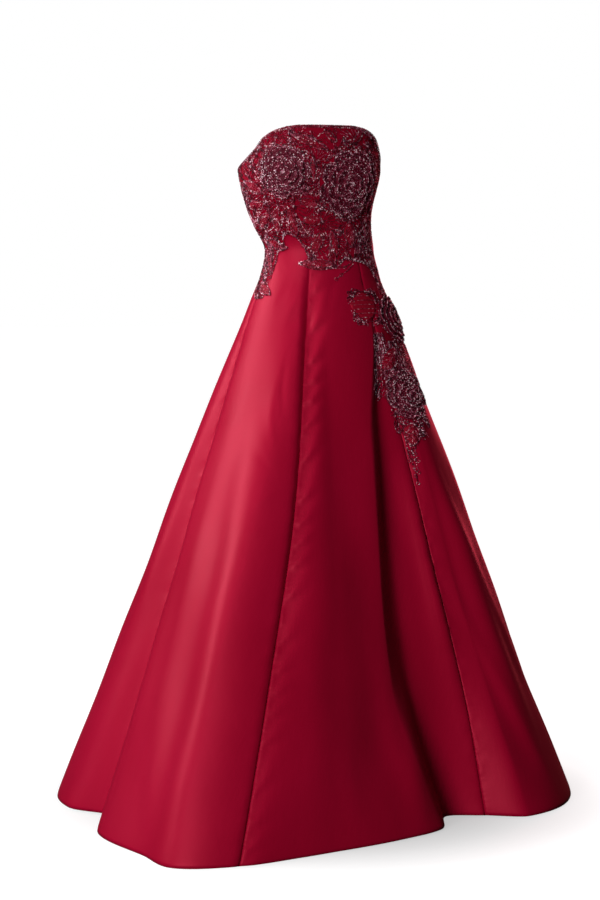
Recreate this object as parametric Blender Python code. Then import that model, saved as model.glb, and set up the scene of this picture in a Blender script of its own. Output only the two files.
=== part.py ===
# Strapless princess-line ball gown in heavy satin, with roses and leaves applied to the bodice and one hip.
# Metres, +Z up. The front faces -Y and the wearer's left side is +X.
# The origin is the centre of the waist, where the wearer holds the gown up.

from collections import namedtuple
from math import cos, exp, pi, radians, sin

import bmesh
import bpy
from mathutils import Matrix, Vector

# Heights of the gown, from the waist.
NECKLINE = 0.266
BUST = 0.165
HIP = -0.11
FOLD_TOP = -0.155
THIGH = -0.40
KNEE = -0.90
HEM = -1.205

# Cloth and seams.
WALL = 0.002
SEAM_GAP = 0.0003
APPLIQUE_GAP = 0.0012

# Rounding of the two bust cups over the plain sections.
CUP_RISE = 0.007
CUP_ANGLE = 35.0
CUP_SPREAD = 17.0
CUP_HEIGHT_SPREAD = 0.055
BUST_SEAM_SPREAD = 5.0

# Closure at the centre back.
ZIP_LENGTH = 0.30
ZIP_WIDTH = 0.0026
ZIP_THICKNESS = 0.0012
ZIP_TOP_MARGIN = 0.004
ZIP_FOOT_STEP = 0.0005
SLIDER_DROP = 0.012
SLIDER_SIZE = (0.0050, 0.0022, 0.0090)
LUG_RADIUS = 0.0022
LUG_THICKNESS = 0.0016
LUG_HOLE_RADIUS = 0.00115
LUG_STAND = 0.0020
PULL_WIDTH = 0.0060
PULL_LENGTH = 0.0200
PULL_THICKNESS = 0.0011
PULL_WINDOW_WIDTH = 0.0024
PULL_WINDOW_HEIGHT = 0.0030
PULL_NECK_SHARE = 0.72
PULL_FOOT_SHARE = 0.6
LUG_NECK_SHARE = 0.8
LUG_SIDES = 24
LUG_HOLE_SIDES = 20

# Steps over which the form's slopes are measured, and sizes below which points are one.
ANGLE_STEP = 0.5
HEIGHT_STEP = 0.004
SAME_POINT = 0.00001
SHARP_ANGLE = 40

# Finishes: colour, roughness and metallic.
Finish = namedtuple("Finish", "colour roughness metallic")
SATIN = Finish((0.42, 0.006, 0.035), 0.35, 0.0)
BEADING = Finish((0.16, 0.030, 0.055), 0.45, 0.3)
ZIP_TAPE = Finish((0.25, 0.010, 0.030), 0.50, 0.0)
ZIP_METAL = Finish((0.30, 0.020, 0.045), 0.30, 1.0)

# Horizontal sections of the plain form, from the hem up: half width along X, half depth along Y,
# and the centre's shift.
Section = namedtuple("Section", "name height half_width half_depth shift_x shift_y")
SECTIONS = [
    Section("hem", HEM, 0.570, 0.520, 0.000, 0.000),
    Section("knee", KNEE, 0.453, 0.409, 0.000, 0.001),
    Section("thigh", THIGH, 0.268, 0.228, 0.000, 0.003),
    Section("hip", HIP, 0.155, 0.121, 0.002, 0.004),
    Section("high hip", -0.055, 0.134, 0.101, 0.002, 0.002),
    Section("waist", 0.000, 0.122, 0.091, 0.000, 0.000),
    Section("midriff", 0.050, 0.130, 0.098, -0.014, 0.001),
    Section("ribs", 0.092, 0.140, 0.106, -0.022, 0.000),
    Section("underbust", 0.130, 0.151, 0.113, -0.024, -0.002),
    Section("bust", 0.175, 0.159, 0.118, -0.024, -0.004),
    Section("neckline", 0.255, 0.158, 0.114, -0.024, -0.002),
    Section("above the neckline", 0.290, 0.157, 0.110, -0.024, 0.000),
]

# How far the top edge drops below the neckline, going round from the centre front.
Edge = namedtuple("Edge", "angle drop")
TOP_EDGE = [
    Edge(0, 0.000),
    Edge(20, 0.000),
    Edge(31, 0.003),
    Edge(42, 0.010),
    Edge(54, 0.025),
    Edge(67, 0.055),
    Edge(86, 0.080),
    Edge(105, 0.092),
    Edge(180, 0.104),
]

# Folds of the skirt, a row for each crest, valley and seam, going round from the centre back:
# its angle at hip, thigh, knee and hem, and how far it stands out from the plain section lower down.
Fold = namedtuple("Fold", "name hip thigh knee hem thigh_rise knee_rise hem_rise")
FOLDS = [
    Fold("centre back valley", -180, -180, -180, -180, -0.005, -0.014, -0.020),
    Fold("right back crest", -158, -158, -158, -157, 0.015, 0.040, 0.056),
    Fold("right back seam", -137, -137, -137, -136, -0.013, -0.036, -0.050),
    Fold("right side slope", -120, -120, -120, -119, -0.004, -0.010, -0.014),
    Fold("right side crest", -107, -107, -107, -106, 0.005, 0.014, 0.020),
    Fold("right side flat", -94, -94, -93, -92, 0.001, 0.002, 0.004),
    Fold("right side seam", -87, -84, -82, -81, -0.014, -0.040, -0.056),
    Fold("right flute edge", -75, -72, -70, -69, 0.009, 0.025, 0.034),
    Fold("right flute face", -52, -51, -51, -51, 0.027, 0.075, 0.104),
    Fold("right flute crest", -36, -34, -39, -39, 0.041, 0.114, 0.158),
    Fold("right front seam", -26, -25, -30, -32.3, 0.027, 0.078, 0.112),
    Fold("front slope", -19, -18, -20, -22, 0.015, 0.035, 0.040),
    Fold("front right flat", -11, -11, -12, -13, 0.000, -0.004, -0.008),
    Fold("front middle", 5, 0, -3, 2, -0.008, -0.034, -0.056),
    Fold("front fold edge", 26, 8.5, 5.5, 14, -0.010, -0.046, -0.086),
    Fold("left front valley", 27.5, 20, 18, 24.3, -0.042, -0.118, -0.158),
    Fold("left front seam", 29, 33, 36.5, 32.3, -0.027, -0.079, -0.104),
    Fold("left flute foot", 35, 39, 41, 38, -0.011, -0.034, -0.027),
    Fold("left flute crest", 58, 56, 55, 57, 0.001, 0.000, 0.009),
    Fold("left side seam", 84, 84, 84, 84, -0.005, -0.016, -0.022),
    Fold("left side valley", 97, 97, 97, 97, -0.015, -0.042, -0.058),
    Fold("left side crest", 116, 116, 116, 116, 0.013, 0.036, 0.050),
    Fold("left back seam", 137, 137, 137, 137, -0.014, -0.040, -0.056),
    Fold("left back crest", 159, 159, 159, 159, 0.016, 0.043, 0.060),
]

# The panels run from the neckline to the hem, each between two of the folds' seams.
Panel = namedtuple("Panel", "name starts ends columns")
PANELS = [
    Panel("front_panel", "right front seam", "left front seam", 17),
    Panel("side_front_left", "left front seam", "left side seam", 12),
    Panel("side_back_left", "left side seam", "left back seam", 9),
    Panel("back_left", "left back seam", "centre back valley", 8),
    Panel("back_right", "centre back valley", "right back seam", 8),
    Panel("side_back_right", "right back seam", "right side seam", 9),
    Panel("side_front_right", "right side seam", "right front seam", 12),
]
# Rows above the waist are shares of the way down from the top edge, those below are heights.
BODICE_ROWS = [0.0, 0.14, 0.28, 0.43, 0.58, 0.71, 0.82, 0.92]
SKIRT_ROWS = [0.0, -0.020, -0.042, -0.072, HIP, FOLD_TOP, -0.20, -0.26, -0.33, THIGH,
              -0.50, -0.62, -0.76, -0.90, -1.03, -1.13, HEM]

# Roses applied on the panels: the centre's angle and height, the radius, the petals of the outer whorl
# and the turn of the first petal.
Rose = namedtuple("Rose", "name angle height radius petals turn")
ROSES = [
    Rose("bust_rose_right", -36, 0.166, 0.054, 7, 10),
    Rose("bust_rose_left", 20, 0.143, 0.073, 8, 35),
    Rose("hip_rose_upper", 57, -0.152, 0.053, 7, 0),
    Rose("hip_rose_lower", 42, -0.314, 0.057, 7, 25),
]
ROSE_EDGE = 0.0025
ROSE_DOME = 0.0085
ROSE_LIP = 0.0022
ROSE_NOTCH = 0.09
SPOKES_PER_PETAL = 5
WHORLS = [0.28, 0.52, 0.77, 1.00]
WHORL_LIP_WIDTH = 0.07
WHORL_TWIST = 26
ROSE_EYE = 0.07
UNDERSIDE_SHARES = [0.25, 0.50, 0.75, 1.00]

# Leaves applied on the panels: angle and height of base and tip, and the width in metres.
Leaf = namedtuple("Leaf", "name base_angle base_height tip_angle tip_height width")
LEAVES = [
    Leaf("leaf_neckline_long", 0, 0.213, -30, 0.247, 0.018),
    Leaf("leaf_neckline_centre", 7, 0.229, -3, 0.256, 0.014),
    Leaf("leaf_neckline_left", 22, 0.228, 33, 0.254, 0.014),
    Leaf("leaf_between_roses", -12, 0.145, -13, 0.198, 0.013),
    Leaf("leaf_ribs_right", -8, 0.094, -25, 0.108, 0.020),
    Leaf("leaf_ribs_front", -6, 0.066, -25, 0.060, 0.024),
    Leaf("leaf_underarm_upper", -60, 0.122, -82, 0.148, 0.022),
    Leaf("leaf_underarm_lower", -60, 0.099, -90, 0.094, 0.021),
    Leaf("leaf_ribs_side", -56, 0.080, -80, 0.046, 0.022),
    Leaf("leaf_ribs_middle", -46, 0.093, -55, 0.034, 0.022),
    Leaf("leaf_ribs_inner", -35, 0.093, -33, 0.030, 0.021),
    Leaf("leaf_waist_side", -77, 0.024, -55, 0.000, 0.018),
    Leaf("leaf_waist_strip", -88, 0.004, -70, -0.052, 0.013),
    Leaf("leaf_hip_right", -86, -0.072, -62, -0.098, 0.022),
    Leaf("leaf_waist_centre", -10, 0.038, -24, -0.012, 0.022),
    Leaf("leaf_waist_oval", -1, -0.034, -37, -0.029, 0.023),
    Leaf("leaf_waist_front", 2, 0.044, 2, -0.017, 0.018),
    Leaf("leaf_under_rose", 24, 0.062, 20, 0.004, 0.034),
    Leaf("leaf_waist_left", 46, 0.052, 55, -0.082, 0.024),
    Leaf("leaf_hip_broad", 35, -0.121, 9, -0.121, 0.066),
    Leaf("leaf_hip_long", 43, -0.214, 27, -0.262, 0.036),
    Leaf("leaf_hip_tail", 39, -0.374, 36, -0.425, 0.040),
]
LEAF_THICKNESS = 0.0016
LEAF_RIB = 0.0014
LEAF_TAPER = 0.85
LEAF_BLUNTNESS = 0.8
LEAF_STATIONS = [0.03, 0.14, 0.30, 0.48, 0.66, 0.83, 0.97]


def ease_through(xs, ys, x):
    """Read a smooth curve through rising xs that never overshoots its ys."""
    count = len(xs)
    if x <= xs[0]:
        return ys[0]
    if x >= xs[-1]:
        return ys[-1]
    spans = [xs[i + 1] - xs[i] for i in range(count - 1)]
    slopes = [(ys[i + 1] - ys[i]) / spans[i] for i in range(count - 1)]

    def tangent(i):
        if i == 0:
            return slopes[0]
        if i == count - 1:
            return slopes[-1]
        if slopes[i - 1] * slopes[i] <= 0:
            return 0.0
        before = 2 * spans[i] + spans[i - 1]
        after = spans[i] + 2 * spans[i - 1]
        return (before + after) / (before / slopes[i - 1] + after / slopes[i])

    i = max(k for k in range(count - 1) if xs[k] <= x)
    s = (x - xs[i]) / spans[i]
    return ((1 + 2 * s) * (1 - s) ** 2 * ys[i] + s * (1 - s) ** 2 * spans[i] * tangent(i)
            + s * s * (3 - 2 * s) * ys[i + 1] + s * s * (s - 1) * spans[i] * tangent(i + 1))


def section_value(column, height):
    return ease_through([row.height for row in SECTIONS], [getattr(row, column) for row in SECTIONS], height)


def all_round(values, turn=0.0):
    """Repeat a list of the folds' values past both ends, so that a curve through it closes at the back."""
    return [v - turn for v in values[-3:]] + values + [v + turn for v in values[:3]]


def fold_angles(height):
    """The folds' angles at a height, from those where the folds start to the hem's."""
    levels = [HEM, KNEE, THIGH, FOLD_TOP]
    return [ease_through(levels, [fold.hem, fold.knee, fold.thigh, fold.hip], height) for fold in FOLDS]


def fold_rises(height):
    """How far the folds stand out from the plain section at a height, from nothing at their top."""
    levels = [HEM, KNEE, THIGH, FOLD_TOP]
    return [ease_through(levels, [fold.hem_rise, fold.knee_rise, fold.thigh_rise, 0.0], height)
            for fold in FOLDS]


def angle_at(cloth, height):
    """The angle that a line of the cloth, named by its angle at the hem, has at a height."""
    hem_angles = all_round([float(fold.hem) for fold in FOLDS], 360.0)
    angle = ease_through(hem_angles, all_round(fold_angles(height), 360.0), cloth)
    lift = min(max(height / BUST, 0.0), 1.0)
    if abs(angle) < 90:
        angle += BUST_SEAM_SPREAD * lift * sin(radians(2 * angle))
    return angle


def outline_point(angle, height):
    """A point of the gown's outer face at an angle from the centre front and a height."""
    rise = ease_through(all_round(fold_angles(height), 360.0), all_round(fold_rises(height)), angle)
    across = (abs(angle) - CUP_ANGLE) / CUP_SPREAD
    upward = (height - BUST) / CUP_HEIGHT_SPREAD
    rise += CUP_RISE * exp(-across * across - upward * upward)
    turn = radians(angle)
    x = section_value("shift_x", height) + (section_value("half_width", height) + rise) * sin(turn)
    y = section_value("shift_y", height) - (section_value("half_depth", height) + rise) * cos(turn)
    return Vector((x, y, height))


def level_step(angle, height):
    """How far the outer face runs round the body over one degree."""
    ahead = outline_point(angle + ANGLE_STEP, height)
    return (ahead - outline_point(angle - ANGLE_STEP, height)) / (2 * ANGLE_STEP)


def upward_step(angle, height):
    """How far the outer face runs for each metre of height."""
    above = outline_point(angle, height + HEIGHT_STEP)
    return (above - outline_point(angle, height - HEIGHT_STEP)) / (2 * HEIGHT_STEP)


def outward(angle, height):
    """The direction that the outer face looks in at that point."""
    return level_step(angle, height).cross(upward_step(angle, height)).normalized()


def top_edge(angle):
    turned = abs((angle + 180.0) % 360.0 - 180.0)
    drop = ease_through([row.angle for row in TOP_EDGE], [row.drop for row in TOP_EDGE], turned)
    return NECKLINE - drop


def new_object(name, mesh_or_bm, finish):
    """Put a mesh in the gown's collection as a named object with a material of its own."""
    if isinstance(mesh_or_bm, bmesh.types.BMesh):
        mesh = bpy.data.meshes.new(name)
        mesh_or_bm.to_mesh(mesh)
        mesh_or_bm.free()
    else:
        mesh = mesh_or_bm
    piece = bpy.data.objects.new(name, mesh)
    material = bpy.data.materials.new(name)
    material.use_nodes = True
    shader = material.node_tree.nodes["Principled BSDF"]
    shader.inputs["Base Color"].default_value = (*finish.colour, 1.0)
    shader.inputs["Roughness"].default_value = finish.roughness
    shader.inputs["Metallic"].default_value = finish.metallic
    mesh.materials.append(material)
    mesh.shade_smooth()
    mesh.set_sharp_from_angle(angle=radians(SHARP_ANGLE))
    gown.objects.link(piece)
    return piece


def wall_between(outer, inner):
    """Close a wall between two equal grids of points, given as rows that run the same way."""
    bm = bmesh.new()
    grids = [[[bm.verts.new(point) for point in row] for row in grid] for grid in (outer, inner)]
    front, back = grids
    last_row = len(front) - 1
    last_column = len(front[0]) - 1
    for r in range(last_row):
        for c in range(last_column):
            bm.faces.new((front[r][c], front[r + 1][c], front[r + 1][c + 1], front[r][c + 1]))
            bm.faces.new((back[r][c], back[r][c + 1], back[r + 1][c + 1], back[r + 1][c]))
        bm.faces.new((front[r][0], back[r][0], back[r + 1][0], front[r + 1][0]))
        bm.faces.new((front[r][last_column], front[r + 1][last_column],
                      back[r + 1][last_column], back[r][last_column]))
    for c in range(last_column):
        bm.faces.new((front[0][c], front[0][c + 1], back[0][c + 1], back[0][c]))
        bm.faces.new((front[last_row][c], back[last_row][c], back[last_row][c + 1], front[last_row][c + 1]))
    return bm


def seam_gap(seam, height):
    """Half of the gap between two panels, wider where the zip sits in it."""
    if seam == "centre back valley" and height > top_edge(180.0) - ZIP_LENGTH:
        return ZIP_WIDTH / 2 + SEAM_GAP
    return SEAM_GAP / 2


def build_panel(panel):
    seams = {fold.name: float(fold.hem) for fold in FOLDS}
    start = seams[panel.starts]
    end = seams[panel.ends]
    if end < start:
        end += 360.0
    cloth_lines = [start + (end - start) * c / panel.columns for c in range(panel.columns + 1)]
    zip_foot = top_edge(180.0) - ZIP_LENGTH
    heights = [("bodice", share) for share in BODICE_ROWS] + [("skirt", height) for height in SKIRT_ROWS]
    if "centre back valley" in (panel.starts, panel.ends):
        heights += [("skirt", zip_foot + ZIP_FOOT_STEP), ("skirt", zip_foot - ZIP_FOOT_STEP)]
        skirt = sorted((row for row in heights if row[0] == "skirt"), key=lambda row: -row[1])
        heights = [row for row in heights if row[0] == "bodice"] + skirt
    outer, inner = [], []
    for kind, value in heights:
        outer_row, inner_row = [], []
        for c, cloth in enumerate(cloth_lines):
            edge = top_edge(angle_at(cloth, BUST))
            height = edge * (1 - value) if kind == "bodice" else value
            angle = angle_at(cloth, height)
            point = outline_point(angle, height)
            normal = outward(angle, height)
            sideways = Vector((0, 0, 1)).cross(normal).normalized()
            if c == 0:
                point = point + sideways * seam_gap(panel.starts, height)
            if c == panel.columns:
                point = point - sideways * seam_gap(panel.ends, height)
            outer_row.append(point)
            inner_row.append(point - normal * WALL)
        outer.append(outer_row)
        inner.append(inner_row)
    return new_object(panel.name, wall_between(outer, inner), SATIN)


def applied_point(angle, height, across, up, lift):
    """A point over the panels, a distance across and up from a centre and lifted off the outer face."""
    new_height = height + up / upward_step(angle, height).length
    new_angle = angle + across / level_step(angle, new_height).length
    return outline_point(new_angle, new_height) + outward(new_angle, new_height) * (APPLIQUE_GAP + lift)


def skin_rings(rings):
    """Close a body through rings of points with the same count, with a flat cap on each end."""
    bm = bmesh.new()
    loops = [[bm.verts.new(point) for point in ring] for ring in rings]
    count = len(loops[0])
    for ring, following in zip(loops, loops[1:]):
        for i in range(count):
            j = (i + 1) % count
            bm.faces.new((ring[i], ring[j], following[j], following[i]))
    bm.faces.new(list(reversed(loops[0])))
    bm.faces.new(loops[-1])
    bmesh.ops.recalc_face_normals(bm, faces=bm.faces)
    return bm


def petal_reach(rose, whorl, theta):
    """How far a whorl's petals reach at an angle round the rose, notched between two petals."""
    petals = rose.petals - 2 * (len(WHORLS) - 1 - whorl) // 2
    wave = abs(cos(petals * (theta - radians(rose.turn + WHORL_TWIST * whorl)) / 2))
    return WHORLS[whorl] * (1 - ROSE_NOTCH * (1 - wave) ** 2)


def build_rose(rose):
    spokes = rose.petals * SPOKES_PER_PETAL
    thetas = [2 * pi * k / spokes for k in range(spokes)]
    rings = []
    for share in UNDERSIDE_SHARES:
        rings.append([(share * petal_reach(rose, len(WHORLS) - 1, theta), 0.0) for theta in thetas])
    for whorl in reversed(range(len(WHORLS))):
        dome = ROSE_EDGE + (ROSE_DOME - ROSE_EDGE) * (1 - WHORLS[whorl] ** 2)
        for back, lift in ((0.0, dome), (WHORL_LIP_WIDTH, dome + ROSE_LIP)):
            rings.append([(petal_reach(rose, whorl, theta) - back, lift) for theta in thetas])
    rings.append([(ROSE_EYE, ROSE_DOME - ROSE_LIP)] * spokes)
    points = []
    for ring in rings:
        points.append([applied_point(rose.angle, rose.height, rose.radius * reach * sin(theta),
                                     rose.radius * reach * cos(theta), lift)
                       for (reach, lift), theta in zip(ring, thetas)])
    new_object(rose.name, skin_rings(points), BEADING)


def build_leaf(leaf):
    """An almond-shaped leaf with a raised rib, laid from base to tip over the panels."""
    middle_height = (leaf.base_height + leaf.tip_height) / 2
    middle_angle = (leaf.base_angle + leaf.tip_angle) / 2
    round_body = (leaf.tip_angle - leaf.base_angle) * level_step(middle_angle, middle_height).length
    run = Vector((round_body, leaf.tip_height - leaf.base_height))
    side = Vector((run.y, -run.x)).normalized()
    rings = []
    for share in LEAF_STATIONS:
        along = run * (share - 0.5)
        half = leaf.width / 2 * sin(pi * share ** LEAF_TAPER) ** LEAF_BLUNTNESS
        edge = LEAF_THICKNESS
        profile = [(-half, 0), (0, 0), (half, 0), (half, edge), (half / 2, edge + LEAF_RIB / 2),
                   (0, edge + LEAF_RIB), (-half / 2, edge + LEAF_RIB / 2), (-half, edge)]
        ring = []
        for offset, lift in profile:
            spot = along + side * offset
            ring.append(applied_point(middle_angle, middle_height, spot.x, spot.y, lift))
        rings.append(ring)
    new_object(leaf.name, skin_rings(rings), BEADING)


def back_frame(height):
    """A frame on the centre back: +X across, +Y straight out of the cloth, +Z up along it."""
    point = outline_point(180.0, height)
    out = outward(180.0, height)
    across = Vector((1, 0, 0))
    frame = Matrix((across, out, across.cross(out))).transposed().to_4x4()
    frame.translation = point
    return frame


def build_zip():
    """The closed coil of a concealed zip, level with the cloth between the two back panels."""
    edge = top_edge(180.0)
    foot = edge - ZIP_LENGTH + 2 * SEAM_GAP
    heights = [edge - ZIP_TOP_MARGIN] + [edge * (1 - share) for share in BODICE_ROWS[1:]]
    heights += [height for height in SKIRT_ROWS if height > foot] + [foot]
    rings = []
    for height in heights:
        frame = back_frame(height)
        recess = (WALL - ZIP_THICKNESS) / 2
        corners = [(-1, recess), (1, recess), (1, recess + ZIP_THICKNESS), (-1, recess + ZIP_THICKNESS)]
        rings.append([frame @ Vector((side * ZIP_WIDTH / 2, -depth, 0)) for side, depth in corners])
    new_object("back_zip", skin_rings(rings), ZIP_TAPE)


def cutter(name, mesh):
    piece = bpy.data.objects.new(name, mesh)
    piece.hide_render = True
    piece.display_type = "WIRE"
    cutters.objects.link(piece)
    return piece


def box_mesh(name, size, centre, frame):
    bm = bmesh.new()
    bmesh.ops.create_cube(bm, size=1.0)
    bmesh.ops.scale(bm, vec=size, verts=bm.verts)
    bmesh.ops.translate(bm, vec=centre, verts=bm.verts)
    bmesh.ops.transform(bm, matrix=frame, verts=bm.verts)
    mesh = bpy.data.meshes.new(name)
    bm.to_mesh(mesh)
    bm.free()
    return mesh


def disc_mesh(name, radius, thickness, centre, frame, sides):
    """A cylinder along X."""
    bm = bmesh.new()
    bmesh.ops.create_cone(bm, cap_ends=True, segments=sides, radius1=radius, radius2=radius,
                          depth=thickness, matrix=Matrix.Rotation(pi / 2, 4, "Y"))
    bmesh.ops.translate(bm, vec=centre, verts=bm.verts)
    bmesh.ops.transform(bm, matrix=frame, verts=bm.verts)
    mesh = bpy.data.meshes.new(name)
    bm.to_mesh(mesh)
    bm.free()
    return mesh


def boolean(piece, other, operation):
    step = piece.modifiers.new(other.name, "BOOLEAN")
    step.object = other
    step.operation = operation
    step.solver = "EXACT"


def build_slider():
    """The slider at the top of the zip, with a lug whose hole the pull's bar swings in."""
    frame = back_frame(top_edge(180.0) - SLIDER_DROP)
    depth = SLIDER_SIZE[1]
    face = SEAM_GAP + depth
    hinge = Vector((0, face + LUG_STAND, 0))
    body = box_mesh("zip_slider", SLIDER_SIZE, (0, SEAM_GAP + depth / 2, 0), frame)
    slider = new_object("zip_slider", body, ZIP_METAL)
    neck_size = (LUG_THICKNESS, LUG_STAND + 2 * SEAM_GAP, 2 * LUG_RADIUS * LUG_NECK_SHARE)
    neck_centre = (0, face + LUG_STAND / 2 - SEAM_GAP, 0)
    boolean(slider, cutter("lug_neck", box_mesh("lug_neck", neck_size, neck_centre, frame)), "UNION")
    disc = disc_mesh("lug_disc", LUG_RADIUS, LUG_THICKNESS, hinge, frame, LUG_SIDES)
    boolean(slider, cutter("lug_disc", disc), "UNION")
    hole = disc_mesh("lug_hole", LUG_HOLE_RADIUS, 2 * LUG_THICKNESS, hinge, frame, LUG_HOLE_SIDES)
    boolean(slider, cutter("lug_hole", hole), "DIFFERENCE")
    return frame @ hinge


def build_pull(hinge):
    """The pull tab: a tapered plate that hangs from a bar across the top of its window."""
    bar = PULL_THICKNESS / 2
    half = PULL_WIDTH / 2
    foot = -(PULL_LENGTH - bar)
    neck = half * PULL_NECK_SHARE
    flat = half * PULL_FOOT_SHARE
    shoulder = -2 * PULL_WINDOW_HEIGHT
    outline = [(-neck, bar), (neck, bar), (neck, shoulder), (half, foot + half), (flat, foot),
               (-flat, foot), (-half, foot + half), (-neck, shoulder)]
    edge = PULL_WINDOW_WIDTH / 2
    sill = -bar - PULL_WINDOW_HEIGHT
    window = [(-edge, -bar), (edge, -bar), (edge, sill), (-edge, sill)]
    curve = bpy.data.curves.new("zip_pull", "CURVE")
    curve.dimensions = "2D"
    curve.fill_mode = "BOTH"
    curve.extrude = PULL_THICKNESS / 2
    for points in (outline, window):
        spline = curve.splines.new("POLY")
        spline.points.add(len(points) - 1)
        for point, (x, y) in zip(spline.points, points):
            point.co = (x, y, 0, 1)
        spline.use_cyclic_u = True
    drawn = bpy.data.objects.new("zip_pull_outline", curve)
    cutters.objects.link(drawn)
    depsgraph = bpy.context.evaluated_depsgraph_get()
    mesh = bpy.data.meshes.new_from_object(drawn.evaluated_get(depsgraph))
    bpy.data.objects.remove(drawn, do_unlink=True)
    bm = bmesh.new()
    bm.from_mesh(mesh)
    bmesh.ops.remove_doubles(bm, verts=bm.verts, dist=SAME_POINT)
    bmesh.ops.rotate(bm, matrix=Matrix.Rotation(pi / 2, 3, "X"), verts=bm.verts)
    pull = new_object("zip_pull", bm, ZIP_METAL)
    pull.location = hinge


for old in list(bpy.data.objects):
    bpy.data.objects.remove(old, do_unlink=True)
gown = bpy.data.collections.new("ball_gown")
bpy.context.scene.collection.children.link(gown)
cutters = bpy.data.collections.new("ball_gown_cutters")
bpy.context.scene.collection.children.link(cutters)

for panel in PANELS:
    build_panel(panel)
for rose in ROSES:
    build_rose(rose)
for leaf in LEAVES:
    build_leaf(leaf)
build_zip()
build_pull(build_slider())
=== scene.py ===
from math import cos, pi, radians, sin

import bmesh
import bpy
import numpy as np
from mathutils import Matrix, Vector
from numpy.linalg import norm


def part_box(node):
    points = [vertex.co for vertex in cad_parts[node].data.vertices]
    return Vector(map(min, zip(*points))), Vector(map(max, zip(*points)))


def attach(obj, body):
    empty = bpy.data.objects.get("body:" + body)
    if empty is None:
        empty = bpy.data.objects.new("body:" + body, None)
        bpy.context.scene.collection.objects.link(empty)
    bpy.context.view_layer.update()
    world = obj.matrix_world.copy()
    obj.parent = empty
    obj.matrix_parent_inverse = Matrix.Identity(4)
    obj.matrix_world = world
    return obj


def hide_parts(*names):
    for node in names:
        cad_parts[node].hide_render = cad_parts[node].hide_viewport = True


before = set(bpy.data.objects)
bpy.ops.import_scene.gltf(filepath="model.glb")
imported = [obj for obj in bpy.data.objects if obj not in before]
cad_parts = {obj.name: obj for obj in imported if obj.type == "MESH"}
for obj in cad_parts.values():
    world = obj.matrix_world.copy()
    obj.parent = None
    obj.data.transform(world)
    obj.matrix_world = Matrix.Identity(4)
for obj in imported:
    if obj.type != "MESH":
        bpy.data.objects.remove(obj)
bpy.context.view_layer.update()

# Strapless satin ball gown with beaded roses and leaves. Metres, the front faces -Y, +X is the wearer's left.
# An angle runs round the gown from the centre front, in degrees, and is above zero on the wearer's left.

gownShape = {
    "neckline": 0.266, "bust": 0.165, "foldTop": -0.155, "thigh": -0.4, "knee": -0.9, "hem": -1.205,
    "cupRise": 0.007, "cupAngle": 35, "cupSpread": 17, "cupHeightSpread": 0.055, "bustSeamSpread": 5,
    # from the hem up: height, half width, half depth, shift along X and along Y
    "sections": [
        (-1.205, 0.57, 0.52, 0, 0), (-0.9, 0.453, 0.409, 0, 0.001), (-0.4, 0.268, 0.228, 0, 0.003),
        (-0.11, 0.155, 0.121, 0.002, 0.004), (-0.055, 0.134, 0.101, 0.002, 0.002), (0, 0.122, 0.091, 0, 0),
        (0.05, 0.13, 0.098, -0.014, 0.001), (0.092, 0.14, 0.106, -0.022, 0),
        (0.13, 0.151, 0.113, -0.024, -0.002), (0.175, 0.159, 0.118, -0.024, -0.004),
        (0.255, 0.158, 0.114, -0.024, -0.002), (0.29, 0.157, 0.11, -0.024, 0)],
    # angle, and how far the top edge drops there
    "topEdge": [
        (0, 0), (20, 0), (31, 0.003), (42, 0.01), (54, 0.025), (67, 0.055), (86, 0.08), (105, 0.092),
        (180, 0.104)],
    # crests, valleys and seams: angle at hip, thigh, knee and hem, then how far out at thigh, knee and hem
    "folds": {
        "centreBack": (-180, -180, -180, -180, -0.005, -0.014, -0.020),
        "rightBackCrest": (-158, -158, -158, -157, 0.015, 0.040, 0.056),
        "rightBackSeam": (-137, -137, -137, -136, -0.013, -0.036, -0.050),
        "rightSideSlope": (-120, -120, -120, -119, -0.004, -0.010, -0.014),
        "rightSideCrest": (-107, -107, -107, -106, 0.005, 0.014, 0.020),
        "rightSideFlat": (-94, -94, -93, -92, 0.001, 0.002, 0.004),
        "rightSideSeam": (-87, -84, -82, -81, -0.014, -0.040, -0.056),
        "rightFluteEdge": (-75, -72, -70, -69, 0.009, 0.025, 0.034),
        "rightFluteFace": (-52, -51, -51, -51, 0.027, 0.075, 0.104),
        "rightFluteCrest": (-37, -37, -42, -42.5, 0.041, 0.114, 0.158),
        "rightFrontSeam": (-26, -25, -30, -32.3, 0.027, 0.078, 0.112),
        "frontSlope": (-19, -18, -20, -22, 0.015, 0.035, 0.040),
        "frontRightFlat": (-11, -11, -12, -13, 0, -0.004, -0.008),
        "frontMiddle": (5, 0, -3, 2, -0.008, -0.034, -0.056),
        "frontFoldEdge": (26, 8.5, 5.5, 14, -0.010, -0.046, -0.086),
        "leftFrontValley": (27.5, 20, 18, 24.3, -0.042, -0.118, -0.158),
        "leftFrontSeam": (29, 33, 36.5, 32.3, -0.027, -0.079, -0.104),
        "leftFluteFoot": (35, 39, 41, 38, -0.011, -0.034, -0.027),
        "leftFluteCrest": (58, 56, 55, 57, 0.001, 0, 0.009),
        "leftSideSeam": (84, 84, 84, 84, -0.005, -0.016, -0.022),
        "leftSideValley": (97, 97, 97, 97, -0.015, -0.042, -0.058),
        "leftSideCrest": (116, 116, 116, 116, 0.013, 0.036, 0.050),
        "leftBackSeam": (137, 137, 137, 137, -0.014, -0.040, -0.056),
        "leftBackCrest": (159, 159, 159, 159, 0.016, 0.043, 0.060)},
}

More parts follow.
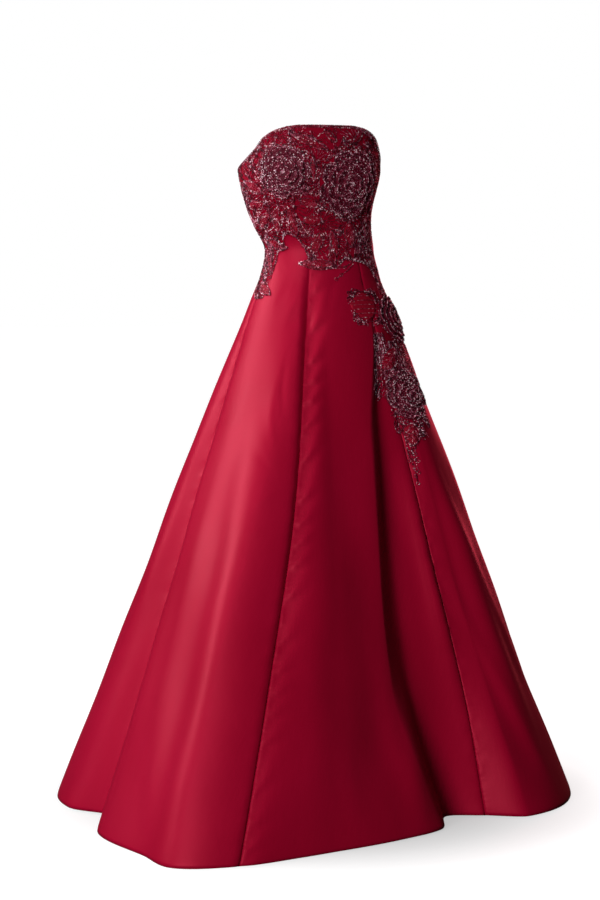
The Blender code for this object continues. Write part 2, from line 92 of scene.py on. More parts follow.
# Creases of the cloth between its folds: start and end as angle and height, how far the line bows sideways,
# its width, and how far it stands out (a trough is below zero).
clothCreases = np.array([
    (-60, -0.34, -58, -0.98, 0.012, 0.026, 0.0036), (-66, -0.48, -63, -1.16, -0.01, 0.03, -0.004),
    (-47, -0.3, -46, -0.74, 0.01, 0.02, 0.0022), (-46, -0.62, -48, -1.12, -0.016, 0.028, -0.003),
    (-55, -0.86, -50, -1.19, 0.014, 0.026, 0.004), (-36, -0.22, -33, -0.36, 0.006, 0.007, -0.0016),
    (-40, -0.27, -36, -0.41, 0.008, 0.008, 0.0016), (-45, -0.4, -35, -0.46, 0.004, 0.006, -0.0012),
    (-41, -0.53, -33, -0.5, 0.002, 0.004, 0.0012), (-42, -0.59, -35, -0.57, 0.002, 0.004, 0.001),
    (-16, -0.24, -14, -0.66, 0.01, 0.026, 0.0016), (-8, -0.36, -10, -0.9, -0.012, 0.03, -0.0018),
    (-20, -0.66, -18, -1.1, 0.008, 0.026, 0.0016), (-12, -0.98, -9, -1.2, 0.008, 0.024, 0.0018),
    (10, -0.44, -3, -1.17, -0.022, 0.078, -0.016), (15, -0.52, 3, -1.16, -0.022, 0.034, -0.0055),
    (2, -0.98, 9, -1.2, -0.01, 0.034, 0.004), (32.5, -0.48, 35, -1.12, 0.002, 0.028, 0.0095),
    (38.5, -0.46, 43.5, -1.14, 0, 0.028, -0.012), (-41, -0.34, -45, -1.19, 0, 0.03, 0.009),
    (-26, -0.38, -28, -1.18, 0, 0.06, -0.0095), (31, -0.46, 35, -0.86, 0.006, 0.012, 0.0034),
    (36, -0.66, 40, -1.08, -0.008, 0.014, -0.0034), (44, -0.34, 50, -0.8, 0.012, 0.02, 0.0046),
    (52, -0.56, 54, -1.14, -0.01, 0.024, -0.0056), (46, -0.5, 62, -1, 0.01, 0.016, 0.0042),
    (40, -0.72, 50, -1.16, 0.008, 0.014, 0.0036), (62, -0.3, 66, -0.92, 0.012, 0.02, 0.004),
    (70, -0.64, 74, -1.17, -0.012, 0.022, 0.0046), (92, -0.36, 92, -0.96, 0.012, 0.024, 0.0036),
    (104, -0.46, 108, -1.14, -0.014, 0.026, -0.0042), (124, -0.34, 126, -0.9, 0.012, 0.022, 0.0036),
    (130, -0.7, 128, -1.18, -0.01, 0.024, 0.0044), (148, -0.32, 150, -0.84, 0.01, 0.022, -0.0032),
    (168, -0.4, 170, -1.06, 0.012, 0.026, 0.0038), (152, -0.74, 154, -1.18, -0.012, 0.024, 0.0042),
    (-168, -0.38, -170, -0.98, -0.012, 0.026, -0.0036), (-150, -0.34, -148, -0.86, 0.01, 0.022, 0.0036),
    (-146, -0.72, -150, -1.17, -0.012, 0.024, -0.0042), (-128, -0.4, -130, -1.04, 0.012, 0.024, 0.004),
    (-112, -0.5, -114, -1.14, 0.01, 0.024, -0.0038), (-98, -0.32, -97, -0.92, -0.012, 0.022, 0.0036),
    (-88, -0.6, -92, -1.16, 0.01, 0.022, -0.0034),
    # drag lines that start at the waist and the hips
    (-40, -0.06, -52, -0.135, 0.004, 0.008, -0.0012), (-30, -0.085, -44, -0.175, 0.005, 0.009, 0.0013),
    (-62, -0.02, -48, -0.05, 0.003, 0.006, -0.001), (4, -0.05, -10, -0.125, 0.004, 0.008, -0.0011),
    (84, -0.03, 70, -0.085, 0.004, 0.008, -0.0012), (98, -0.05, 84, -0.13, 0.005, 0.009, 0.0012),
    (128, -0.02, 146, -0.075, 0.004, 0.008, -0.0014), (112, -0.045, 132, -0.125, 0.005, 0.01, 0.0013),
    (170, 0.03, 150, 0.012, 0.003, 0.006, -0.0011), (168, -0.015, 146, -0.03, 0.003, 0.007, 0.0011),
    (-170, 0.02, -148, 0.004, 0.003, 0.006, -0.0011), (-166, -0.03, -144, -0.045, 0.003, 0.007, -0.0012),
    (-124, -0.025, -140, -0.085, 0.004, 0.008, -0.0013), (-110, -0.05, -128, -0.13, 0.005, 0.009, 0.0012),
    (150, 0.11, 128, 0.085, 0.003, 0.006, -0.0009), (-152, 0.1, -126, 0.08, 0.003, 0.006, -0.0009),
])
# how far past its ends a crease fades out and how fast, and the uneven drape below the waist
creaseLook = {"past": 0.08, "fade": 1.3, "drapeTop": -0.12, "drapeReach": 0.5, "drape": 0.0018}


def easeThrough(xs, ys, x):
    # a smooth curve through rising xs, along their last axis, that never overshoots its ys
    x = np.asarray(x, float)
    xs = np.broadcast_to(xs, x.shape + xs.shape[-1:])
    ys = np.broadcast_to(ys, xs.shape)
    spans = np.diff(xs, axis=-1)
    slopes = np.diff(ys, axis=-1) / spans
    before = 2 * spans[..., 1:] + spans[..., :-1]
    after = spans[..., 1:] + 2 * spans[..., :-1]
    steady = slopes[..., :-1] * slopes[..., 1:] > 0
    first, second = (np.where(steady, side, 1.0) for side in (slopes[..., :-1], slopes[..., 1:]))
    middle = np.where(steady, (before + after) / (before / first + after / second), 0.0)
    tangents = np.concatenate([slopes[..., :1], middle, slopes[..., -1:]], axis=-1)
    index = np.clip((xs <= x[..., None]).sum(-1) - 1, 0, xs.shape[-1] - 2)[..., None]

    def at(values, step=0):
        return np.take_along_axis(values, index + step, -1)[..., 0]

    span = at(spans)
    s = np.clip((x - at(xs)) / span, 0.0, 1.0)
    return ((1 + 2 * s) * (1 - s) ** 2 * at(ys) + s * (1 - s) ** 2 * span * at(tangents)
            + s * s * (3 - 2 * s) * at(ys, 1) + s * s * (s - 1) * span * at(tangents, 1))


sectionTable = np.array(gownShape["sections"], float)
topEdgeTable = np.array(gownShape["topEdge"], float)
foldTable = np.array(list(gownShape["folds"].values()), float)
foldHems = dict(zip(gownShape["folds"], foldTable[:, 3]))
foldLevels = np.array([gownShape[key] for key in ("hem", "knee", "thigh", "foldTop")])
foldTurns = foldTable[:, [3, 2, 1, 0]]
foldRises = np.column_stack([foldTable[:, [6, 5, 4]], np.zeros(len(foldTable))])


def sectionValue(column, height):
    return easeThrough(sectionTable[:, 0], sectionTable[:, column], height)


def allRound(values, turn=0.0):
    return np.concatenate([values[..., -3:] - turn, values, values[..., :3] + turn], axis=-1)


def foldsAt(table, height):
    level = np.repeat(np.asarray(height, float)[..., None], len(table), axis=-1)
    return easeThrough(foldLevels, table, level)


def angleAt(cloth, height):
    # the angle that a line of the cloth, named by its angle at the hem, has at a height
    angle = easeThrough(allRound(foldTurns[:, 0], 360.0), allRound(foldsAt(foldTurns, height), 360.0), cloth)
    lift = np.clip(height / gownShape["bust"], 0.0, 1.0)
    spread = gownShape["bustSeamSpread"] * lift * np.sin(np.radians(2 * angle))
    return np.where(np.abs(angle) < 90, angle + spread, angle)


def wrapped(angle):
    return (np.asarray(angle, float) + 180.0) % 360.0 - 180.0


def outlinePoint(angle, height):
    # a point of the gown's plain outer face
    angle, height = np.broadcast_arrays(wrapped(angle), np.asarray(height, float))
    turns, rises = foldsAt(foldTurns, height), foldsAt(foldRises, height)
    rise = easeThrough(allRound(turns, 360.0), allRound(rises), angle)
    across = (np.abs(angle) - gownShape["cupAngle"]) / gownShape["cupSpread"]
    upward = (height - gownShape["bust"]) / gownShape["cupHeightSpread"]
    rise = rise + gownShape["cupRise"] * np.exp(-across ** 2 - upward ** 2)
    turn = np.radians(angle)
    x = sectionValue(3, height) + (sectionValue(1, height) + rise) * np.sin(turn)
    y = sectionValue(4, height) - (sectionValue(2, height) + rise) * np.cos(turn)
    return np.stack([x, y, height], axis=-1)


def unit(vectors):
    return vectors / norm(vectors, axis=-1, keepdims=True)


def slopesAt(angle, height):
    # along the level for one degree, and up for one metre
    level = outlinePoint(angle + 0.5, height) - outlinePoint(angle - 0.5, height)
    return level, (outlinePoint(angle, height + 0.004) - outlinePoint(angle, height - 0.004)) / 0.008


def topEdge(angle):
    return gownShape["neckline"] - easeThrough(topEdgeTable[:, 0], topEdgeTable[:, 1], np.abs(wrapped(angle)))


def creaseLift(angle, height):
    # how far the creases and the uneven drape lift the cloth off its plain form
    turn = np.radians(wrapped(angle))
    girth = sectionValue(1, height)
    past = creaseLook["past"]
    lift = 0.0
    for *ends, bow, width, depth in clothCreases:
        start, end = ((radians(a) * np.interp(h, *sectionTable[:, :2].T), h) for a, h in (ends[:2], ends[2:]))
        run = np.subtract(end, start)
        length = norm(run)
        run = run / length
        x = turn * girth - start[0]
        y = height - start[1]
        along = (x * run[0] + y * run[1]) / length
        aside = x * run[1] - y * run[0] - bow * np.sin(pi * np.clip(along, 0, 1))
        fade = np.sin(pi * np.clip((along + past) / (1 + 2 * past), 0, 1)) ** creaseLook["fade"]
        lift = lift + depth * fade * np.exp(-(aside / width) ** 2)
    low = np.clip((creaseLook["drapeTop"] - height) / creaseLook["drapeReach"], 0.0, 1.0)
    return lift + low * creaseLook["drape"] * (
        np.sin(7 * turn + 9 * height + 1.3) * np.sin(11 * height + 3 * turn)
        + 0.6 * np.sin(13 * turn - 6 * height) * np.sin(17 * height + 0.7))


def clothPoint(angle, height, lift=0.0):
    # a point over the draped cloth, with the directions across, up and out of it
    level, upward = slopesAt(angle, height)
    out = unit(np.cross(level, upward))
    point = outlinePoint(angle, height) + out * (creaseLift(angle, height) + lift)[..., None]
    across = unit(level)
    return point, across, np.cross(out, across), out


def appliedPoint(angle, height, across, up, lift):
    # the same, a distance across and up from a centre
    newHeight = height + up / norm(slopesAt(angle, height)[1], axis=-1)
    newAngle = angle + across / norm(slopesAt(angle, newHeight)[0], axis=-1)
    return clothPoint(newAngle, newHeight, lift)


# ---- materials


def plug(slot, value):
    # a node's input takes a link or a plain value
    value = getattr(value, "socket", value)
    if isinstance(value, bpy.types.NodeSocket):
        slot.id_data.links.new(value, slot)
    else:
        slot.default_value = value


class Reading:
    # a number that changes over a surface; sums on it add Math nodes
    def __init__(self, socket):
        self.socket = socket

    def joined(self, operation, *values):
        node = self.socket.id_data.nodes.new("ShaderNodeMath")
        node.operation = operation
        for slot, value in zip(node.inputs, values):
            plug(slot, value)
        return Reading(node.outputs[0])

    __add__ = __radd__ = lambda self, other: self.joined("ADD", self, other)
    __mul__ = __rmul__ = lambda self, other: self.joined("MULTIPLY", self, other)
    __sub__ = lambda self, other: self.joined("SUBTRACT", self, other)
    __rsub__ = lambda self, other: self.joined("SUBTRACT", other, self)
    __truediv__ = lambda self, other: self.joined("DIVIDE", self, other)
    __pow__ = lambda self, other: self.joined("POWER", self, other)

    def held(self, low=0.0, high=1.0):
        return self.joined("MINIMUM", self.joined("MAXIMUM", self, low), high)


class Finish:
    # one material, with its shader's fixed values set from a dictionary
    def __init__(self, name, look):
        self.material = bpy.data.materials.new(name)
        self.material.use_nodes = True
        self.tree = self.material.node_tree
        for socket, value in look.items():
            self.feed(socket, value)

    def feed(self, socket, value):
        plug(self.tree.nodes["Principled BSDF"].inputs[socket], value)

    def add(self, kind, values={}, **settings):
        node = self.tree.nodes.new(kind)
        for key, value in settings.items():
            setattr(node, key, value)
        for socket, value in values.items():
            plug(node.inputs[socket], value)
        return node

    def coordinates(self, layer=None):
        if layer:
            return self.add("ShaderNodeUVMap", uv_map=layer).outputs["UV"]
        return self.add("ShaderNodeTexCoord").outputs["Object"]

    def parts(self, vector):
        return [Reading(part) for part in self.add("ShaderNodeSeparateXYZ", {"Vector": vector}).outputs]

    def noise(self, vector, scale, detail=2.0, stretch=(1.0, 1.0, 1.0)):
        mapping = self.add("ShaderNodeMapping", {"Vector": vector, "Scale": stretch})
        node = self.add("ShaderNodeTexNoise", {"Vector": mapping.outputs[0], "Scale": scale, "Detail": detail,
                                               "Roughness": 0.55})
        return Reading(node.outputs["Fac"])

    def ramp(self, share, stops, socket="Base Color"):
        # a colour that runs through stops as a share goes from 0 to 1
        node = self.add("ShaderNodeValToRGB", {"Fac": share})
        places = node.color_ramp.elements
        while len(places) < len(stops):
            places.new(1.0)
        for place, (position, colour) in zip(places, stops):
            place.position = position
            place.color = (*colour, 1.0)
        self.feed(socket, node.outputs["Color"])

    def bump(self, height, depth, strength=1.0):
        node = self.add("ShaderNodeBump", {"Height": height, "Distance": depth, "Strength": strength})
        self.feed("Normal", node.outputs[0])


# colours as linear red, green and blue; bumps in metres
satinLook = {
    # the netted colour is the red netting, darkened further by painted shade from the beads
    "nettedAndBeadShade": (0.190, 0.0006, 0.0105), "dark": (0.240, 0.0008, 0.0150), "mid": (0.275, 0.0012, 0.0190),
    "light": (0.310, 0.0018, 0.0240), "reverse": (0.14, 0.001, 0.008), "tint": (1.0, 0.50, 0.60, 1.0),
    "roughness": 0.48, "metallic": 0.10, "specular": 0.14, "threadBump": 0.00010, "puckerBump": 0.0032,
    "crumpleBump": 0.00055, "cloudBump": 0.0026, "stitchBump": 0.0007, "seamReach": 0.030,
}


def makeSatin():
    satin = Finish("heavySatin", {
        "IOR": 1.45, "Metallic": satinLook["metallic"], "Specular IOR Level": satinLook["specular"],
        "Specular Tint": satinLook["tint"]})
    place = satin.coordinates()
    cloth = satin.coordinates("cloth")
    sewing = satin.coordinates("sewing")
    drift = satin.noise(place, 3.1, 3.0)
    thread = satin.noise(cloth, 420.0, 2.0, (1.0, 0.05, 1.0))
    # under the beads the satin carries dark red netting with fine stitches, and is painted darker still as
    # painted shade of the beads on it
    nettedAndBeadShade = satin.parts(satin.coordinates("netting"))[0]
    stitches = satin.noise(place, 330.0)
    shade = 0.42 + drift * 0.40 + thread * 0.18 - nettedAndBeadShade * (0.85 - stitches * 0.75)
    satin.ramp(shade.held(), [(0.0, satinLook["nettedAndBeadShade"]), (0.55, satinLook["dark"]), (0.72, satinLook["mid"]),
                              (0.90, satinLook["light"])])
    rough = satinLook["roughness"] + (drift - 0.5) * 0.10 + (thread - 0.5) * 0.08 + nettedAndBeadShade * 0.2
    satin.feed("Roughness", rough.held(0.2, 0.85))
    # fine lengthwise float, small crumples, soft clouds, and puckers that run out from the seams
    pucker = satin.noise(sewing, 62.0, 2.0, (0.35, 1.0, 1.0)) - 0.5
    nearSeam = (1 - satin.parts(sewing)[0] / satinLook["seamReach"]).held() ** 2.0
    crumple = satin.noise(place, 28.0, 3.0, (1.0, 1.0, 0.55)) - 0.5
    cloud = satin.noise(place, 8.0, 1.0, (1.0, 1.0, 0.6)) - 0.5
    satin.bump(thread * satinLook["threadBump"] + pucker * nearSeam * satinLook["puckerBump"]
               + crumple * satinLook["crumpleBump"] + cloud * satinLook["cloudBump"]
               + stitches * nettedAndBeadShade * satinLook["stitchBump"], 1.0, 0.9)
    return satin.material


def makeReverse():
    back = Finish("satinReverse", {"IOR": 1.45, "Specular Tint": satinLook["tint"]})
    grain = back.noise(back.coordinates(), 900.0)
    drift = back.noise(back.coordinates(), 5.0)
    back.ramp(drift * 0.6 + grain * 0.4, [(0.3, satinLook["dark"]), (0.7, satinLook["reverse"])])
    back.feed("Roughness", 0.62 + grain * 0.15)
    back.bump(grain, 0.0002)
    return back.material


beadLook = {
    # the top of the ramp, nearly white pink, is partly silver-lined beads and partly painted glints
    "plum": [(0.0, (0.016, 0.0003, 0.003)), (0.35, (0.09, 0.003, 0.017)), (0.6, (0.33, 0.036, 0.080)),
             (0.82, (0.66, 0.20, 0.30)), (1.0, (0.98, 0.72, 0.80))],
    "leafNetting": [(0.0, (0.14, 0.0008, 0.008)), (1.0, (0.32, 0.004, 0.020))],
    # the petals' netting is dark red, painted darker as painted shade in the gaps between the dense rose
    # beads
    "petalNettingAndShade": [(0.0, (0.035, 0.001, 0.006)), (1.0, (0.13, 0.006, 0.018))],
    "roughness": 0.20, "dulling": 0.18, "metallic": 0.55, "coat": 0.05,
}


def makeBeads():
    # glass beads, each shaded by its own tone
    beads = Finish("beadGlass", {"IOR": 1.5, "Specular IOR Level": 0.25, "Coat Weight": beadLook["coat"],
                                 "Coat Roughness": 0.08, "Metallic": beadLook["metallic"]})
    shade = Reading(beads.add("ShaderNodeAttribute", attribute_name="tone").outputs["Fac"])
    beads.ramp(shade, beadLook["plum"])
    beads.feed("Roughness", (beadLook["roughness"] + (1 - shade) * beadLook["dulling"]).held(0.06, 0.6))
    return beads.material


def makeNet(name):
    # embroidered netting under the beads: dense short stitches over red
    net = Finish(name, {"IOR": 1.5, "Specular IOR Level": 0.15, "Specular Tint": satinLook["tint"]})
    stitches = net.noise(net.coordinates(), 520.0, 3.0)
    clumps = net.noise(net.coordinates(), 90.0)
    net.ramp((stitches * 0.6 + clumps * 0.55 - 0.1).held(), beadLook[name])
    net.feed("Roughness", 0.38 + stitches * 0.3)
    net.bump(stitches * 0.6 + clumps * 0.4, 0.0008)
    return net.material


satin = makeSatin()
satinReverse = makeReverse()
beadGlass = makeBeads()
leafNet = makeNet("leafNetting")
petalNetAndShade = makeNet("petalNettingAndShade")
print("materials made")


def placed(name, data):
    thing = bpy.data.objects.new(name, data)
    bpy.context.scene.collection.objects.link(thing)
    return thing


def newPiece(name, mesh, materials):
    piece = placed(name, mesh)
    for material in materials:
        mesh.materials.append(material)
    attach(piece, "gown")
    return piece


def lengths(points):
    # how long each line of points is up to every point
    steps = norm(np.diff(points, axis=-2), axis=-1)
    return np.concatenate([0 * steps[..., :1], np.cumsum(steps, axis=-1)], axis=-1)


def newSheet(name, node, point, layers, out, materials, wall, closed=False):
    # rows of points as cloth that faces out, with its wall behind it, in place of a solid
    rows, columns = point.shape[:2]
    bm = bmesh.new()
    bmesh.ops.create_grid(bm, x_segments=columns - 1, y_segments=rows - 1, size=1.0)
    mesh = bpy.data.meshes.new(name)
    bm.to_mesh(mesh)
    bm.free()
    flat = np.empty(len(mesh.vertices) * 3)
    mesh.vertices.foreach_get("co", flat)
    share = (flat.reshape(-1, 3)[:, :2] + 1) / 2
    column, row = np.rint(share * (columns - 1, rows - 1)).astype(int).T
    mesh.vertices.foreach_set("co", point[row, column].ravel())
    mesh.update()
    corners = np.empty(len(mesh.loops), int)
    mesh.loops.foreach_get("vertex_index", corners)
    for layer, values in layers.items():
        uv = np.stack(values, axis=-1)[row, column][corners]
        mesh.uv_layers.new(name=layer).data.foreach_set("uv", uv.ravel())
    bm = bmesh.new()
    bm.from_mesh(mesh)
    if closed:
        bmesh.ops.remove_doubles(bm, verts=bm.verts, dist=0.00002)
        bmesh.ops.recalc_face_normals(bm, faces=bm.faces)
    facing = sum((face.normal * face.calc_area() for face in bm.faces), Vector())
    if facing.dot(Vector(out)) < 0:
        bmesh.ops.reverse_faces(bm, faces=bm.faces)
    bm.to_mesh(mesh)
    bm.free()
    mesh.shade_smooth()
    piece = newPiece(name, mesh, materials)
    solid = piece.modifiers.new("wall", "SOLIDIFY")
    solid.thickness = wall
    solid.offset = -1.0
    solid.material_offset = len(materials) - 1
    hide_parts(node)
    return piece


# ---- panels

# how low the beading of the bodice reaches: angle and height
beadedFloor = np.array([
    (-112, 0.11), (-104, 0.07), (-97, 0.02), (-92, -0.09), (-84, -0.106), (-72, -0.104), (-68, -0.05),
    (-64, -0.006), (-55, 0), (-51, 0.028), (-44, 0.034), (-36, 0.024), (-29, -0.01), (-24, -0.038),
    (0, -0.04), (10, -0.022), (24, -0.026), (40, -0.036), (50, -0.062), (56, -0.08), (62, -0.098),
    (70, -0.108), (77, -0.096), (83, -0.03), (90, 0.03), (98, 0.07), (112, 0.11),
])
# and the beaded patch on the hip: angle and height of its middle, and half sizes
beadedHip = {"angle": 52, "height": -0.245, "halfAngle": 27, "halfHeight": 0.085}
beadedTurn = 112    # how far round the beading reaches, in degrees


def lowestBead(angle):
    return np.interp(angle, *beadedFloor.T)


def beadedShare(angle, height):
    # 1 under the beads, 0 on bare satin
    angle = wrapped(angle)
    bodice = np.clip((height - lowestBead(angle)) / 0.006 + 0.5, 0.0, 1.0)
    bodice = bodice * np.clip((beadedTurn - np.abs(angle)) / 4, 0.0, 1.0)
    x = (angle - beadedHip["angle"]) / beadedHip["halfAngle"]
    y = (height - beadedHip["height"]) / beadedHip["halfHeight"]
    return np.maximum(bodice, np.clip((1.0 - x ** 4 - y ** 4) * 3.0, 0.0, 1.0))


panelLook = {
    "wall": 0.0009, "bodiceRows": 44, "skirtRows": 176, "seamTurn": 0.010, "topTurn": 0.012, "hemTurn": 0.026,
    "turnDepth": 0.0030, "turnSlack": 0.0006, "edgeRound": 0.0012, "seamSink": 0.0015, "seamWidth": 0.0024,
    "seamHalf": -0.00003, "zipHalf": 0.0007, "zipLength": 0.30, "puckerDepth": 0.0008, "puckerReach": 0.012,
    "lobeHeight": 0.056, "lobeLean": 0.6, "backReach": 0.008,
}
# start and end fold, columns, and how deep and how far the cloth dips towards the first seam
panels = {
    "front_panel": ("rightFrontSeam", "leftFrontSeam", 58, 0.0084, 0.024),
    "side_front_left": ("leftFrontSeam", "leftSideSeam", 44, 0.0020, 0.012),
    "side_back_left": ("leftSideSeam", "leftBackSeam", 38, 0.0022, 0.014),
    "back_left": ("leftBackSeam", "centreBack", 34, 0.0030, 0.016),
    "back_right": ("centreBack", "rightBackSeam", 34, 0.0012, 0.010),
    "side_back_right": ("rightBackSeam", "rightSideSeam", 38, 0.0028, 0.015),
    "side_front_right": ("rightSideSeam", "rightFrontSeam", 44, 0.0020, 0.012),
}


def panelColumns(start, end, count):
    # columns gather at the seams and at the crisp folds
    fine = np.linspace(0.0, 1.0, 801)
    gathers = [(0.0, 3.0, 0.035), (1.0, 3.0, 0.035)]
    for name in ("frontFoldEdge", "leftFrontValley", "rightFluteCrest", "leftFluteFoot"):
        share = (foldHems[name] - start) / (end - start)
        if 0 < share < 1:
            gathers.append((share, 2.0, 0.05))
    density = 1.0 + sum(extra * np.exp(-((fine - place) / width) ** 2) for place, extra, width in gathers)
    running = np.concatenate([[0.0], np.cumsum((density[1:] + density[:-1]) / 2)])
    return np.interp(np.linspace(0.0, 1.0, count), running / running[-1], fine)


def seamHalfGap(fold, height):
    # wider along the zip
    foot = topEdge(180) - panelLook["zipLength"] if fold == "centreBack" else np.inf
    return np.where(height > foot, panelLook["zipHalf"], panelLook["seamHalf"])


def puckers(height, gap, seed):
    # short uneven ridges that run out from a sewn seam
    turn = 2 * pi * height
    wave = (np.sin(turn / 0.041 + seed) * np.sin(turn / 0.173 + 2 * seed)
            + 0.7 * np.sin(turn / 0.063 + 3 * seed + gap * 90))
    reach = panelLook["puckerReach"] * (1 + 0.5 * np.sin(turn / 0.21 + seed))
    low = np.clip((0.02 - height) / 0.25, 0.15, 1.0)
    return panelLook["puckerDepth"] * low * wave * np.exp(-(gap / reach) ** 2) * np.clip(gap / 0.003, 0, 1)


def dipDepth(height, depth):
    # nothing on the bodice, most on the thighs, less towards the hem
    rest = 0.5 + 0.5 * np.clip((height + 0.95) / 0.3, 0.0, 1.0)
    return depth * np.clip((-0.02 - height) / 0.12, 0.0, 1.0) * rest


def seamDip(height, gap, depth, reach, seed):
    # lobes that lean upwards as they run out from the seam
    phase = (height - panelLook["lobeLean"] * gap) / panelLook["lobeHeight"]
    tooth = (phase + 0.35 * np.sin(height * 21 + seed)) % 1.0
    lobe = 0.50 + tooth * np.clip((1 - tooth) / 0.15, 0, 1)
    return dipDepth(height, depth) * np.exp(-(np.maximum(gap, 0.0) / (reach * lobe)) ** 2.4)


def makePanel(name, startFold, endFold, count, dip, dipReach, nextDip, seed):
    start, end = foldHems[startFold], foldHems[endFold]
    if end <= start:
        end += 360.0
    cloth = start + (end - start) * panelColumns(start, end, count)
    bodice = np.linspace(1.0, 0.0, panelLook["bodiceRows"] + 1)[:-1, None]
    skirt = np.linspace(0.0, gownShape["hem"], panelLook["skirtRows"])
    bodice = topEdge(angleAt(cloth, gownShape["bust"])) * bodice
    height = np.concatenate([bodice, np.repeat(skirt[:, None], count, axis=1)])
    arcs = lengths(outlinePoint(angleAt(np.broadcast_to(cloth, height.shape), height), height))

    # two more rows and columns at each edge turn the cloth in: one for the fold, one for the end inside
    turn, turnDepth = panelLook["seamTurn"], panelLook["turnDepth"]
    line = np.pad(np.broadcast_to(cloth, height.shape), 2, "edge")
    line[2:-2, [0, -1]] = [np.interp([turn, arc[-1] - turn], arc, cloth) for arc in arcs]
    line[[0, 1, -2, -1]] = line[[2, 2, -3, -3]]
    height = np.pad(height, 2, "edge")
    height[0] -= panelLook["topTurn"]
    height[-1] += panelLook["hemTurn"]
    depth = np.full(height.shape, turnDepth)
    depth[2:-2, 2:-2] = 0.0
    depth[[0, -1]] += panelLook["turnSlack"]
    depth[[2, -3]] += panelLook["edgeRound"]
    depth[[3, -4]] += panelLook["edgeRound"] / 4

    angle = angleAt(line, height)
    point, across, up, out = clothPoint(angle, height)
    fromStart = np.pad(lengths(point[:, 2:-2]), ((0, 0), (2, 2)), "edge")
    total = fromStart[:, -1:].copy()
    fromStart[:, 0] += turn
    fromStart[:, -1] -= turn
    fromEnd = total - fromStart
    nearest = np.minimum(fromStart, fromEnd)
    sink = panelLook["seamSink"] * np.exp(-(nearest / panelLook["seamWidth"]) ** 2)
    ridges = puckers(height, fromStart, seed) + puckers(height, fromEnd, seed + 2.3) - sink
    lift = (np.where(depth < turnDepth, ridges, 0.0) - seamDip(height, fromStart, dip, dipReach, seed)
            - dipDepth(height, nextDip) * np.exp(-(fromEnd / panelLook["backReach"]) ** 2) - depth)
    sideways = np.zeros_like(height)
    sideways[:, :3] = seamHalfGap(startFold, height[:, :3])
    sideways[:, -3:] = -seamHalfGap(endFold, height[:, -3:])
    point = point + out * lift[..., None] + across * sideways[..., None]
    # the share under the beads, which darkens the satin for the netting and for painted shade of the beads
    nettedAndBeadShade = beadedShare(angle, height)
    layers = {"cloth": (fromStart, height), "sewing": (nearest, height), "netting": (nettedAndBeadShade, nettedAndBeadShade)}
    middle = out[len(out) // 2, out.shape[1] // 2]
    piece = newSheet("satin_" + name, name, point, layers, middle, [satin, satinReverse],
                     panelLook["wall"])
    # the cut: longest line, and the whole surface
    corner = point[:-1, :-1]
    area = norm(np.cross(point[1:, :-1] - corner, point[:-1, 1:] - corner), axis=2).sum()
    long = lengths(point.swapaxes(0, 1)).max()


dips = [panel[3] for panel in panels.values()]
for seed, (name, panel) in enumerate(panels.items()):
    makePanel(name, *panel, dips[(seed + 1) % len(dips)], 1.7 * seed)
print("panels made")


# ---- beads

# length, width and thickness; the coil is the zip's
beadShapes = {"seed": (0.0021, 0.0021, 0.0019), "bugle": (0.0052, 0.0013, 0.0013),
              "crystal": (0.0034, 0.0034, 0.0022), "coil": (0.0022, 0.0010, 0.0009)}


def beadTemplate(kind):
    # one bead, a metre across
    bm = bmesh.new()
    if kind == "seed":
        bmesh.ops.create_icosphere(bm, subdivisions=1, radius=0.5)
    elif kind == "crystal":
        bmesh.ops.create_cone(bm, cap_ends=True, segments=6, radius1=0.5, radius2=0.26, depth=0.8,
                              matrix=Matrix.Translation((0, 0, 0.1)))
    else:
        bmesh.ops.create_cone(bm, cap_ends=True, segments=5 if kind == "bugle" else 6, radius1=0.5,
                              radius2=0.5, depth=1.0, matrix=Matrix.Rotation(pi / 2, 4, "Y"))
    bmesh.ops.triangulate(bm, faces=bm.faces)
    bm.verts.index_update()
    verts = np.array([v.co[:] for v in bm.verts])
    faces = np.array([[v.index for v in face.verts] for face in bm.faces])
    bm.free()
    return verts, faces


templates = {kind: beadTemplate(kind) for kind in beadShapes}
# waves, in radians a metre, whose product makes clusters of light and dark beads, and how strong they are
clusterLook = {"waves": ((610, -180), (130, 520), (240, 590)), "depth": 0.48, "shift": -0.08}


def beadCopies(kind, point, along, out, size=1.0):
    # a bead's copies at many points, each turned along a direction
    verts, faces = templates[kind]
    axes = np.stack([along, np.cross(out, along), out], axis=1)
    spots = point[:, None] + np.reshape(size, (-1, 1, 1)) * ((verts * beadShapes[kind]) @ axes)
    starts = len(verts) * np.arange(len(point))
    return spots.reshape(-1, 3), (faces + starts[:, None, None]).reshape(-1, 3)


def newFacets(name, points, faces, material, slotName):
    mesh = bpy.data.meshes.new(name)
    mesh.from_pydata(points, [], faces, shade_flat=False)
    return newPiece(name, mesh, [material])


def heading(turn):
    return np.stack([np.cos(turn), np.sin(turn)], axis=-1)


